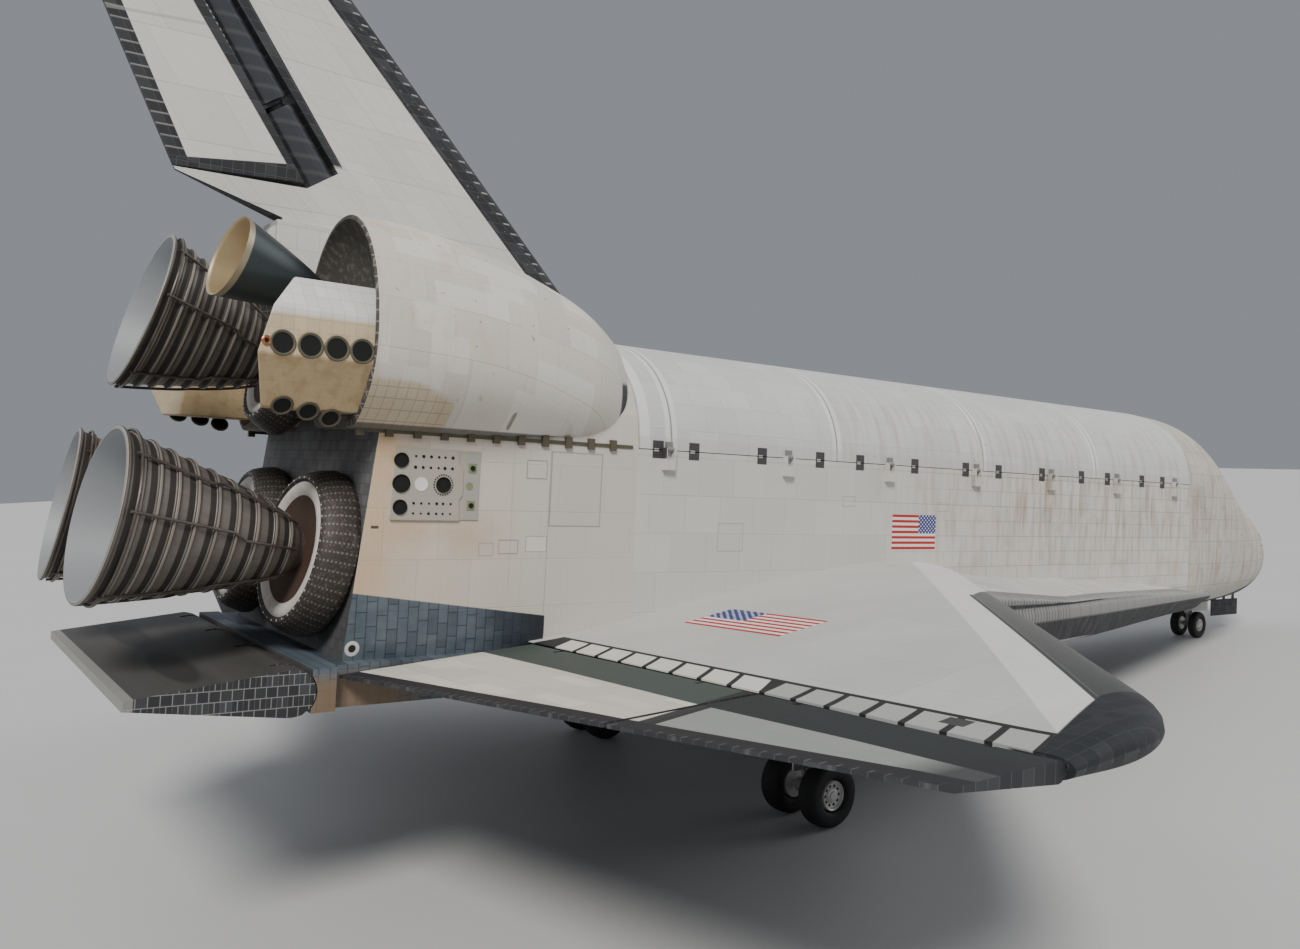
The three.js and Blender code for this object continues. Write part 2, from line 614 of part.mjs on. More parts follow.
function finRing(height) {
  const fore = finEdge(height);
  const half = finHalf(height);
  const side = [[fore, 0.5], [fore + 4, 2], [rudderAxisStation(height), half], [finTail(height), 1.3]];
  const starboard = side.map(([station, lateral]) => stationPoint(station, lateral, height));
  const port = side.map(([station, lateral]) => stationPoint(station, -lateral, height));
  return [...starboard, ...port.reverse()];
}

const forwardOfAxis = (height) => rudderAxisStation(height) - (finHalf(height) + RUDDER_GAP) / AXIS_RISE;
const footOffset = finHalf(RUDDER_FOOT) + RUDDER_GAP;
const RUDDER_SILL = RUDDER_FOOT - footOffset * AXIS_RUN;
const rudderSpace = slab([
  [rudderAxisStation(RUDDER_FOOT) - footOffset * AXIS_RISE, RUDDER_FOOT + footOffset * AXIS_RUN],
  [rudderAxisStation(RUDDER_FOOT) + footOffset * AXIS_RISE, RUDDER_SILL],
  [1610, RUDDER_SILL],
  [1730, 840],
  [1700, 840],
  [forwardOfAxis(840), 840],
], -30, 30);
const belowTail = slab([[1519, 480], [1519, 552], [1600, 576.4], [1600, 480]], -30, 30);
const fin = cut(
  loft([FIN.root, FIN.tip].map(finRing)),
  rudderSpace, belowTail, aftHullWithGap, block(1200, FIN.fore, -30, 30, 480, 560),
  block(CHUTE.fore - FIT, CHUTE.aft + 40, -30, 30, 450, CHUTE.high + FIT),
  upperDomeSpace,
);

const axisPoint = (height) => stationPoint(rudderAxisStation(height), 0, height);
const coneRadius = (height) => finHalf(height) - 0.2;
const RUDDER_KNUCKLES = [622, 760]; // axis heights of the panel knuckles
const KNUCKLE = { thickness: 2.2, gap: 0.4, reach: 0.62, core: 0.3 };

const alongAxis = (height, offset) => axisPoint(height).addScaledVector(RUDDER_AXIS, offset * INCH);
const axisRod = (height, from, to, radius) =>
  rod(alongAxis(height, from), alongAxis(height, to), radius, 12);
const slotHalf = KNUCKLE.thickness + 1.5 * KNUCKLE.gap;
const sparRadii = [RUDDER_FOOT, RUDDER_HEAD].map(coneRadius);
const rudderSpar = cut(
  rod(alongAxis(RUDDER_FOOT, FIT), axisPoint(RUDDER_HEAD), sparRadii[0], 16, sparRadii[1]),
  ...RUDDER_KNUCKLES.map((height) => cut(
    axisRod(height, -slotHalf, slotHalf, 14),
    axisRod(height, -slotHalf - 1, slotHalf + 1, KNUCKLE.core * coneRadius(height)),
  )),
);

// The starboard knuckles sit on the pins above the middle of each slot, the port ones below.
// The foot rises towards the front, which swings down over the sill as the panel turns.
function rudderPanel(level) {
  const ring = ([height, rise]) => {
    const front = height + rise;
    const fore = rudderAxisStation(front) + (finHalf(front) + RUDDER_GAP) / AXIS_RISE;
    return [
      stationPoint(fore, 0.3, front),
      stationPoint(finTail(height), 0.3, height),
      stationPoint(finTail(height), 1.5, height),
      stationPoint(fore, finHalf(front) - 0.4, front),
    ];
  };
  const skin = loft([[RUDDER_SILL + 0.8, 2], [FIN.tip - 0.4, 0]].map(ring));
  const knuckles = RUDDER_KNUCKLES.map((height) => {
    const radius = coneRadius(height);
    const near = (level * KNUCKLE.gap) / 2;
    const far = near + level * KNUCKLE.thickness;
    const reach = radius + 6;
    const armWidth = KNUCKLE.reach * radius - 0.3;
    const armCentre = alongAxis(height, (near + far) / 2)
      .addScaledVector(RUDDER_AFT, (reach / 2) * INCH)
      .add(new THREE.Vector3((0.3 + armWidth / 2) * INCH, 0, 0));
    const arm = turnedBlock(armCentre, RUDDER_AFT, SIDEWAYS, [reach, armWidth, KNUCKLE.thickness]);
    const ends = [near - level, far + level].map((offset) => alongAxis(height, offset));
    return cut(
      join(arm, axisRod(height, near, far, KNUCKLE.reach * radius)),
      bore(...ends, KNUCKLE.core * radius),
    );
  });
  return join(skin, ...knuckles);
}

const chuteHousing = block(CHUTE.fore, CHUTE.aft, -CHUTE.halfWidth, CHUTE.halfWidth, CHUTE.low, CHUTE.high);

// Tail pods and engines

// Columns: station, middle lateral, middle height, half width, height above the middle.
const POD_SECTIONS = [
  [1309, 70, 452, 24, 36],
  [1340, 72, 456, 39, 53],
  [1380, 73, 461, 49, 64],
  [1430, 74, 465, 57, 73],
  [1475, 75, 468, 59, 76],
  [1508, 76, 470, 59, 74],
];
const POD_POINTS = 26;
const POD_SEAM = 421.5;
const POD_NOZZLE = { station: 1518, lateral: 88, height: 492, pitch: 15.8, yaw: 6.5 };
// Columns: lateral, height, aft station of the thruster housing's corners.
const HOUSING = [
  [100, 499, 1538],
  [114, 498, 1543],
  [131, 480, 1558],
  [132, 455, 1565],
  [113, 429, 1556],
  [92, 429, 1550],
];

function podRing([station, lateral, height, halfWidth, rise]) {
  return Array.from({ length: POD_POINTS }, (_, k) => {
    const angle = -Math.PI / 2 + ((k + 0.5) * 2 * Math.PI) / POD_POINTS;
    const reach = Math.sin(angle) >= 0 ? rise : height - POD_SEAM + 7;
    return stationPoint(station, lateral + halfWidth * Math.cos(angle), height + reach * Math.sin(angle));
  });
}

const podAxis = tilted(POD_NOZZLE.pitch, POD_NOZZLE.yaw);
const podPivot = stationPoint(POD_NOZZLE.station, POD_NOZZLE.lateral, POD_NOZZLE.height);
const podDish = weld(new THREE.SphereGeometry(36 * INCH, 24, 12))
  .translate(...podPivot.clone().addScaledVector(podAxis, 26 * INCH).toArray());
const podNozzleSpace = rod(
  podPivot, podPivot.clone().addScaledVector(podAxis, 60 * INCH), 11, 16, 26);
const housingBody = cut(
  loft([
    HOUSING.map(([lateral, height]) => stationPoint(1484, lateral, height)),
    HOUSING.map(([lateral, height, aft]) => stationPoint(aft, lateral, height)),
  ]),
  podNozzleSpace,
);
const belowPod = block(1250, 1620, 0, 160, 380, POD_SEAM);
const besideFin = block(1400, 1560, 0, 17, 480, 560);
const pod = cut(
  join(cut(loft(POD_SECTIONS.map(podRing)), podDish), housingBody),
  aftHullWithGap, upperDomeSpace, belowPod, besideFin,
);

// A bell: the wall between its outer and inner curve, closed at the throat.
function bellProfile({ root, rootRadius, throat, throatRadius, exit, exitRadius, wall, power }) {
  const steps = 5;
  const radiusAt = (k) => mix(throatRadius, exitRadius, (k / steps) ** power);
  const alongAt = (k) => mix(throat, exit, k / steps);
  const outer = Array.from({ length: steps + 1 }, (_, k) => [radiusAt(k), alongAt(k)]);
  const inner = outer.map(([radius, along]) => [radius - wall, along]).slice(1).reverse();
  return [[0, root], [rootRadius, root], [rootRadius, throat - 4], ...outer, ...inner, [0, throat + 8]];
}

const POD_BELL = {
  root: -14, rootRadius: 6, throat: -2, throatRadius: 5, exit: 56, exitRadius: 22.5, wall: 0.8, power: 0.7,
};
const podNozzle = cut(turned(bellProfile(POD_BELL), 16, podPivot, podAxis), pod)
  .translate(0, -3 * FIT * INCH, 0);

const BELL = {
  root: 12, rootRadius: 16, throat: 50, throatRadius: 13, exit: 156, exitRadius: 46.5, wall: 1.2, power: 0.72,
};
const DOME = { fore: 8, hole: 19, lip: 52 };

function domeProfile(shift, outer) {
  const { fore, hole, lip } = DOME;
  const end = shift + lip;
  return [[hole, fore], [outer, fore], [outer, end - 16], [outer - 2, end - 7], [outer - 6, end - 1],
    [outer - 9, end], [hole, end - 2], [hole, fore]];
}

// Landing gear

const WHEEL_SIDES = 20;
const toFlats = 1 / Math.cos(Math.PI / WHEEL_SIDES); // the flats, not the corners, are at the radius
const noseAxleHeight = MAIN_GEAR.height
  + (MAIN_GEAR.station - NOSE_GEAR.station) * Math.tan(GROUND_PITCH)
  - (MAIN_GEAR.radius - NOSE_GEAR.radius) / Math.cos(GROUND_PITCH);

// Turns a wheel profile about the axle, one flat level with the ground.
function wheelTurned(profile) {
  const points = profile.map(([radius, along]) => new THREE.Vector2(radius * toFlats * INCH, along * INCH));
  const geometry = weld(new THREE.LatheGeometry(points, WHEEL_SIDES, Math.PI / WHEEL_SIDES));
  const indices = [...geometry.index.array];
  if (signedVolume(geometry.attributes.position.array, indices) < 0) geometry.setIndex(indices.reverse());
  return geometry.rotateZ(-Math.PI / 2).rotateX(GROUND_PITCH);
}

function tyre(radius, width, rim) {
  const half = width / 2;
  const shoulder = [
    [rim + FIT, -half * 0.8],
    [mix(rim, radius, 0.4), -half],
    [mix(rim, radius, 0.85), -half * 0.9],
    [radius, -half * 0.55],
  ];
  const profile = [...shoulder, ...shoulder.map(([r, along]) => [r, -along]).reverse()];
  return wheelTurned([...profile, profile[0]]);
}

// Both rims of a pair and the axle between them.
function axleAndRims({ rim, axle, spacing, width }) {
  const centre = spacing / 2;
  const half = width * 0.42;
  const side = [[0, centre + half - 1], [rim * 0.4, centre + half - 1.4], [rim * 0.9, centre + half],
    [rim, centre + half], [rim, centre - half], [axle, centre - half]];
  return wheelTurned([...side, ...side.map(([r, along]) => [r, -along]).reverse()]);
}

const mainTyre = tyre(MAIN_GEAR.radius, MAIN_GEAR.width, 10.3);
const noseTyre = tyre(NOSE_GEAR.radius, NOSE_GEAR.width, 8);
const NOSE_RIM = { rim: 8, axle: 1.6, spacing: NOSE_GEAR.spacing, width: NOSE_GEAR.width };
const MAIN_RIM = { rim: 10.3, axle: 2.6, spacing: MAIN_GEAR.spacing, width: MAIN_GEAR.width };

const bearingEnds = (station, lateral, height, halfLength) => [-halfLength, halfLength].map((offset) =>
  stationPoint(station, lateral + offset, height));

const mainLeg = (() => {
  const { station, lateral, height } = MAIN_GEAR;
  const { fore, roof } = MAIN_WELL;
  const at = (s, z, y = lateral) => stationPoint(s, y, z);
  const upperLink = [[station + 3, 240], [station + 12, 222], [station + 12, 218], [station + 3, 236]];
  const lowerLink = [[station + 9, 222], [station + 12, 222], [station + 4, 197], [station + 1, 197]];
  return cut(
    join(
      rod(at(station, 236), at(station, roof - FIT), 6, 14),
      rod(at(station, height), at(station, 240), 4, 14),
      rod(at(station, 262), at(fore + 8, roof - 4), 2.4, 8),
      block(fore + 2, fore + 12, lateral - 10, lateral + 10, roof - 9, roof - FIT),
      rod(at(station, 300, lateral - 20), at(station, 300, lateral + 20), 3, 8),
      slab(upperLink, lateral - 2.5, lateral + 2.5),
      slab(lowerLink, lateral - 1.6, lateral + 1.6),
      rod(...bearingEnds(station, lateral, height, 8), 5, 16),
    ),
    bore(...bearingEnds(station, lateral, height, 10), MAIN_RIM.axle * toFlats, 24),
  );
})();

const NOSE_COLLAR = 270; // the leg above this height is fixed, and below it steers
const noseLeg = (() => {
  const { station } = NOSE_GEAR;
  const at = (s, z, y = 0) => stationPoint(s, y, z);
  return join(
    rod(at(station, NOSE_COLLAR + FIT), at(station, NOSE_WELL.roof - FIT), 4.2, 14),
    rod(at(station, 283), at(NOSE_WELL.fore + 12, NOSE_WELL.roof - 4), 1.8, 8),
    block(NOSE_WELL.fore + 6, NOSE_WELL.fore + 16, -9, 9, NOSE_WELL.roof - 8, NOSE_WELL.roof - FIT),
    rod(at(station, 312, -NOSE_WELL.halfWidth + FIT), at(station, 312, NOSE_WELL.halfWidth - FIT), 2.2, 8),
  );
})();
const noseFork = (() => {
  const { station } = NOSE_GEAR;
  const at = (s, z) => stationPoint(s, 0, z);
  return cut(
    join(
      rod(at(station, NOSE_COLLAR - 6), at(station, NOSE_COLLAR), 4.6, 14),
      rod(at(station, noseAxleHeight), at(station, NOSE_COLLAR - 5), 2.8, 12),
      rod(...bearingEnds(station, 0, noseAxleHeight, 5), 3.2, 16),
    ),
    bore(...bearingEnds(station, 0, noseAxleHeight, 7), NOSE_RIM.axle * toFlats, 24),
  );
})();

// Gear doors hang open from arms on the well's side walls.
function hangingDoor(fore, aft, lateral, top, drop, thickness, wallTop) {
  const arms = [0.15, 0.5, 0.85].map((share) => {
    const middle = mix(fore, aft, share);
    return block(middle - 1.5, middle + 1.5, lateral - thickness - 1, lateral - FIT, top - 4, wallTop);
  });
  const skin = block(fore, aft, lateral - thickness, lateral - FIT, top - drop, top);
  return join(skin, ...arms);
}
const mainGearDoor = hangingDoor(MAIN_WELL.fore, MAIN_WELL.aft, MAIN_WELL.outer, 266, 52, 2, 290);
const noseGearDoor = hangingDoor(NOSE_WELL.fore, NOSE_WELL.aft - 33, NOSE_WELL.halfWidth, 282, 20, 1.2, 300);

// Assembly

const orbiter = new THREE.Group();
orbiter.name = 'orbiter';
const airframe = new THREE.Group();
airframe.name = 'airframe';
airframe.rotation.x = -GROUND_PITCH;
orbiter.add(airframe);

function pivot(name, point, parent = airframe, parentPoint = new THREE.Vector3()) {
  const group = new THREE.Group();
  group.name = name;
  group.position.copy(point).sub(parentPoint);
  parent.add(group);
  return group;
}

// Adds a piece drawn in the airframe's frame to a pivot group that stands at `origin`.
function add(name, geometry, material, parent = airframe, origin = new THREE.Vector3()) {
  const piece = geometry.clone().translate(-origin.x, -origin.y, -origin.z);
  piece.computeVertexNormals();
  const mesh = new THREE.Mesh(piece, material);
  mesh.name = name;
  parent.add(mesh);
  return mesh;
}

add('forward_fuselage', forwardFuselage, WHITE);
add('nose_cap', noseCap, CARBON);
add('forward_thruster_module', forwardModule, WHITE);
add('windshield_glass', windshieldGlass, GLASS);
add('overhead_glass', overheadGlass, GLASS);
add('aft_deck_glass', aftGlass, GLASS);
add('flight_deck', flightDeck, CABIN);
add('mid_fuselage', midFuselage, WHITE);
add('aft_fuselage', aftFuselage, BLANKET);
add('fin', fin, BLANKET);
add('drag_chute_housing', chuteHousing, WHITE);
add('nose_gear_leg', noseLeg, STEEL);

const hatchPoint = stationPoint(HATCH.station, HATCH_AXIS.lateral, HATCH_AXIS.height);
add('crew_hatch', crewHatch, WHITE, pivot('crew_hatch_hinge', hatchPoint), hatchPoint);

const flapPoint = stationPoint(FLAP.station, 0, FLAP.height);
add('body_flap', bodyFlap, BLACK_TILE, pivot('body_flap_hinge', flapPoint), flapPoint);

const rudderPoint = axisPoint(RUDDER_FOOT);
const rudderGroup = pivot('rudder_hinge', rudderPoint);
add('rudder_spar', rudderSpar, SHIELD, rudderGroup, rudderPoint);
add('starboard_rudder_panel', rudderPanel(1), WHITE, rudderGroup, rudderPoint);
add('port_rudder_panel', mirrored(rudderPanel(-1)), WHITE, rudderGroup, rudderPoint);

const steeringPoint = stationPoint(NOSE_GEAR.station, 0, noseAxleHeight);
const steering = pivot('nose_steering', steeringPoint);
add('nose_fork', noseFork, STEEL, steering, steeringPoint);
add('nose_axle_and_rims', axleAndRims(NOSE_RIM), STEEL, steering);

for (const [name, station, lateral, height, pitch, yaw, shift, domeRadius] of ENGINES) {
  const centre = stationPoint(station, lateral, height);
  const axis = tilted(pitch, yaw);
  const bell = { ...BELL, throat: BELL.throat + shift };
  const dome = cut(turned(domeProfile(shift, domeRadius), 24, centre, axis), aftHullWithGap);
  const nozzle = cut(turned(bellProfile(bell), 24, centre, axis), aftHullWithGap);
  add(`${name}_engine_dome`, dome, SHIELD);
  add(`${name}_engine_nozzle`, nozzle, NOZZLE);
}

for (const [name, sign] of [['port', -1], ['starboard', 1]]) {
  const sided = (geometry) => (sign < 0 ? mirrored(geometry) : geometry);
  add(`${name}_wing`, sided(starboardWing), BLANKET);
  add(`${name}_leading_edge`, sided(leadingEdge), CARBON);
  add(`${name}_tail_pod`, sided(pod), BLANKET);
  add(`${name}_pod_nozzle`, sided(podNozzle), NOZZLE);
  add(`${name}_umbilical_panel`, sided(umbilicalPanel), STEEL);
  add(`${name}_main_gear_leg`, sided(mainLeg), STEEL);
  add(`${name}_main_gear_door`, sided(mainGearDoor), BLACK_TILE);
  add(`${name}_nose_gear_door`, sided(noseGearDoor), BLACK_TILE);

  const doorPoint = stationPoint(REFERENCE_STATION, sign * BAY_HINGE.lateral, BAY_HINGE.height);
  add(`${name}_bay_door`, sided(bayDoor), DOOR_WHITE, pivot(`${name}_bay_door_hinge`, doorPoint), doorPoint);

  ELEVONS.forEach(({ name: place, inner }, index) => {
    const hinge = elevonHinge(inner);
    const point = stationPoint(hinge.station, sign * inner, hinge.height);
    const group = pivot(`${name}_${place}_elevon_hinge`, point);
    add(`${name}_${place}_elevon`, sided(elevonSolids[index]), BLANKET, group, point);
  });

  const axlePoint = stationPoint(MAIN_GEAR.station, sign * MAIN_GEAR.lateral, MAIN_GEAR.height);
  const axleGroup = pivot(`${name}_main_axle`, axlePoint);
  add(`${name}_main_axle_and_rims`, axleAndRims(MAIN_RIM), STEEL, axleGroup);
  for (const [place, offset] of [['inner', -sign], ['outer', sign]]) {
    const mesh = add(`${name}_main_${place}_tyre`, mainTyre, RUBBER, axleGroup);
    mesh.position.x = (offset * MAIN_GEAR.spacing * INCH) / 2;
  }
  add(`${name}_nose_tyre`, noseTyre, RUBBER, steering).position.x = (sign * NOSE_GEAR.spacing * INCH) / 2;
}

// The model stands on the floor at height 0, centred on its own length and width.
orbiter.updateMatrixWorld(true);
const bounds = new THREE.Box3().setFromObject(orbiter, true);
const middle = bounds.getCenter(new THREE.Vector3());
orbiter.position.set(-middle.x, -middle.y, -bounds.min.z);

export default orbiter;
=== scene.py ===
"""A winged space orbiter on its landing gear: the finish of its pieces and its fine shapes."""

import json
import math

import bmesh
import bpy
import numpy as np
from mathutils import Matrix, Vector

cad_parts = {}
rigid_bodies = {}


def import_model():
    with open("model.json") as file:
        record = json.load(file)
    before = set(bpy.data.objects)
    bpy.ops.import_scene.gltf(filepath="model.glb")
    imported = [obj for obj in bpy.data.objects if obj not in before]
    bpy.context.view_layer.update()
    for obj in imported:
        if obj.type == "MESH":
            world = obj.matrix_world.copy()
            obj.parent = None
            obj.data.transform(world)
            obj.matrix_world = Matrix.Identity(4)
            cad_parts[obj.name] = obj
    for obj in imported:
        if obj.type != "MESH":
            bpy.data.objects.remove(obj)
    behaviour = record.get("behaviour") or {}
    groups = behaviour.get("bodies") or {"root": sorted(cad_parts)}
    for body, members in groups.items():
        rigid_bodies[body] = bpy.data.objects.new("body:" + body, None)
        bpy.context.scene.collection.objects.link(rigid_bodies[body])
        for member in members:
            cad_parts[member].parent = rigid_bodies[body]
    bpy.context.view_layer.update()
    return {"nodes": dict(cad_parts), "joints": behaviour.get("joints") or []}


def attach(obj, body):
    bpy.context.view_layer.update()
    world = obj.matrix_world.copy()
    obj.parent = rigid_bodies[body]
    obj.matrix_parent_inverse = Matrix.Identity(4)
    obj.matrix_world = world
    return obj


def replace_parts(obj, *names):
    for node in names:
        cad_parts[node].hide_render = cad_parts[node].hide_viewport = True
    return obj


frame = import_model()


# Airframe stations
# The maker's drawings place everything by station: inches aft of a datum, inches to starboard
# and inches up. The airframe stands nose down on its gear, so a turn and a shift take stations
# to the floor.

INCH = 0.0254
DATUM = 1000.0
NOSE_DOWN = math.radians(4.8)
DOOR_HINGE = (1000.0, 104.4, 421.0)


def turned(places):
    """Turns (station, starboard, up) lengths into floor axes: aft runs along minus Y, and the nose
    is lowered by turning about X."""
    places = np.asarray(places, float) * INCH
    aft, starboard, up = places[..., 0], places[..., 1], places[..., 2]
    along = -aft * math.cos(NOSE_DOWN) + up * math.sin(NOSE_DOWN)
    rise = aft * math.sin(NOSE_DOWN) + up * math.cos(NOSE_DOWN)
    return np.stack([starboard, along, rise], -1)


def shifted_origin():
    """The floor place of the datum station, worked back from the hinge of the starboard door."""
    hinge = next(j for j in frame["joints"] if j["name"] == "starboard_bay_door_hinge")
    station, starboard, up = DOOR_HINGE
    return np.array(hinge["pos_m"]) - turned((station - DATUM, starboard, up))


ORIGIN = shifted_origin()


def placed(places):
    """Floor places in metres of (station, starboard, up) places in inches."""
    places = np.asarray(places, float)
    return turned(places - np.array([DATUM, 0, 0])) + ORIGIN


# Camera, floor and light
# The camera looks on from high behind the starboard wing, as in the photo. The floor is pale, and
# the lamps are large and soft.

CAMERA_PLACE = (1718.66, 672.88, 400.68)
CAMERA_YAW, CAMERA_PITCH, CAMERA_ROLL = 0.9364, -0.0456, 0.0454
FOCAL_PIXELS, PHOTO_WIDTH, CENTRE_RAISED = 1065.24, 1300, 44.5


def linked(name, data):
    """Puts a mesh, a lamp or a camera into the scene."""
    made = bpy.data.objects.new(name, data)
    bpy.context.scene.collection.objects.link(made)
    return made


def aimed_camera():
    """A camera whose axes come from a yaw, a pitch and a roll in the airframe's axes."""
    look = np.array([-math.cos(CAMERA_YAW) * math.cos(CAMERA_PITCH),
                     -math.sin(CAMERA_YAW) * math.cos(CAMERA_PITCH), -math.sin(CAMERA_PITCH)])
    right = np.cross(look, (0, 0, 1))
    right /= np.linalg.norm(right)
    up = np.cross(right, look)
    cosine, sine = math.cos(CAMERA_ROLL), math.sin(CAMERA_ROLL)
    axes = [cosine * right + sine * up, cosine * up - sine * right, -look]
    columns = [turned(axis) / INCH for axis in axes] + [placed(CAMERA_PLACE)]
    data = bpy.data.cameras.new("camera")
    data.sensor_width = 36
    data.lens = data.sensor_width * FOCAL_PIXELS / PHOTO_WIDTH
    data.shift_y = -CENTRE_RAISED / PHOTO_WIDTH
    data.clip_end = 500
    camera = linked("camera", data)
    camera.matrix_world = Matrix([[column[row] for column in columns] for row in range(3)] + [[0, 0, 0, 1]])
    bpy.context.scene.camera = camera


def sun(name, strength, softness, direction, colour):
    """A lamp as far away as the sun, with a disc as wide as a studio's soft box."""
    data = bpy.data.lights.new(name, "SUN")
    data.energy = strength
    data.angle = math.radians(softness)
    data.color = colour
    linked(name, data).rotation_euler = Vector(direction).to_track_quat("-Z", "Y").to_euler()


aimed_camera()
sun("key", 3.1, 18, (-0.65, 0.55, -0.85), (1.0, 0.97, 0.92))
sun("fill", 0.7, 60, (0.7, 0.5, -0.6), (0.93, 0.96, 1.0))
sun("rim", 0.8, 40, (-0.2, -1.0, -0.5), (0.97, 0.98, 1.0))

world = bpy.data.worlds.new("studio")
bpy.context.scene.world = world
world.use_nodes = True
sky = world.node_tree.nodes["Background"].inputs
sky["Color"].default_value, sky["Strength"].default_value = (0.36, 0.38, 0.41, 1), 0.72

FLOOR_HALF = 120.0
floor_data = bpy.data.meshes.new("floor")
floor_corners = [(-1, -1), (1, -1), (1, 1), (-1, 1)]
floor_data.from_pydata([(FLOOR_HALF * x, FLOOR_HALF * y, 0) for x, y in floor_corners], [], [(0, 1, 2, 3)])
floor = linked("floor", floor_data)


# Materials
# A finish is a stack of layers, each under a mask. Masks are worked out from stations, so every
# seam and stain stays at its place on the airframe.

def worked_out(operation, reflected=False):
    """A method of Value that adds a Math node, with its inputs the other way round if reflected."""
    def method(value, *others):
        inputs = (*others, value) if reflected else (value, *others)
        return value.finish.math(operation, *inputs)
    return method


class Value:
    """A number that varies over a surface. Arithmetic on it adds Math nodes to its material."""

    __add__ = __radd__ = worked_out("ADD")
    __sub__, __rsub__ = worked_out("SUBTRACT"), worked_out("SUBTRACT", reflected=True)
    __mul__ = __rmul__ = worked_out("MULTIPLY")
    __truediv__, __abs__ = worked_out("DIVIDE"), worked_out("ABSOLUTE")
    fraction, floor, root = worked_out("FRACT"), worked_out("FLOOR"), worked_out("SQRT")
    most, power = worked_out("MAXIMUM"), worked_out("POWER")

    def __init__(self, finish, socket):
        self.finish, self.socket = finish, socket

    def __neg__(self):
        return self * -1

    def over(self, edge, soft=0.5):
        """1 above the edge, 0 below it, with a soft step between."""
        low, high = edge - soft / 2, edge + soft / 2
        return ((self - low) / (high - low)).clamped()

    def under(self, edge, soft=0.5):
        return 1 - self.over(edge, soft)

    def between(self, low, high, soft=0.5):
        return self.over(low, soft) * self.under(high, soft)

    def clamped(self):
        return self.finish.node("ShaderNodeClamp", {}, {"Value": self})


def distance(u, v):
    """How far a place is from another one, from its distances along two axes."""
    return (u * u + v * v).root()


def within(u, v, rectangle, soft=0.3, margin=0.0):
    """1 inside a rectangle, given as low and high u and low and high v, and drawn in by a margin."""
    u_low, u_high, v_low, v_high = rectangle
    inside = u.between(u_low + margin, u_high - margin, soft)
    return inside * v.between(v_low + margin, v_high - margin, soft)


def rgba(colour):
    """A colour with its alpha. One number stands for a grey."""
    return (*np.broadcast_to(colour, 3).tolist(), 1)


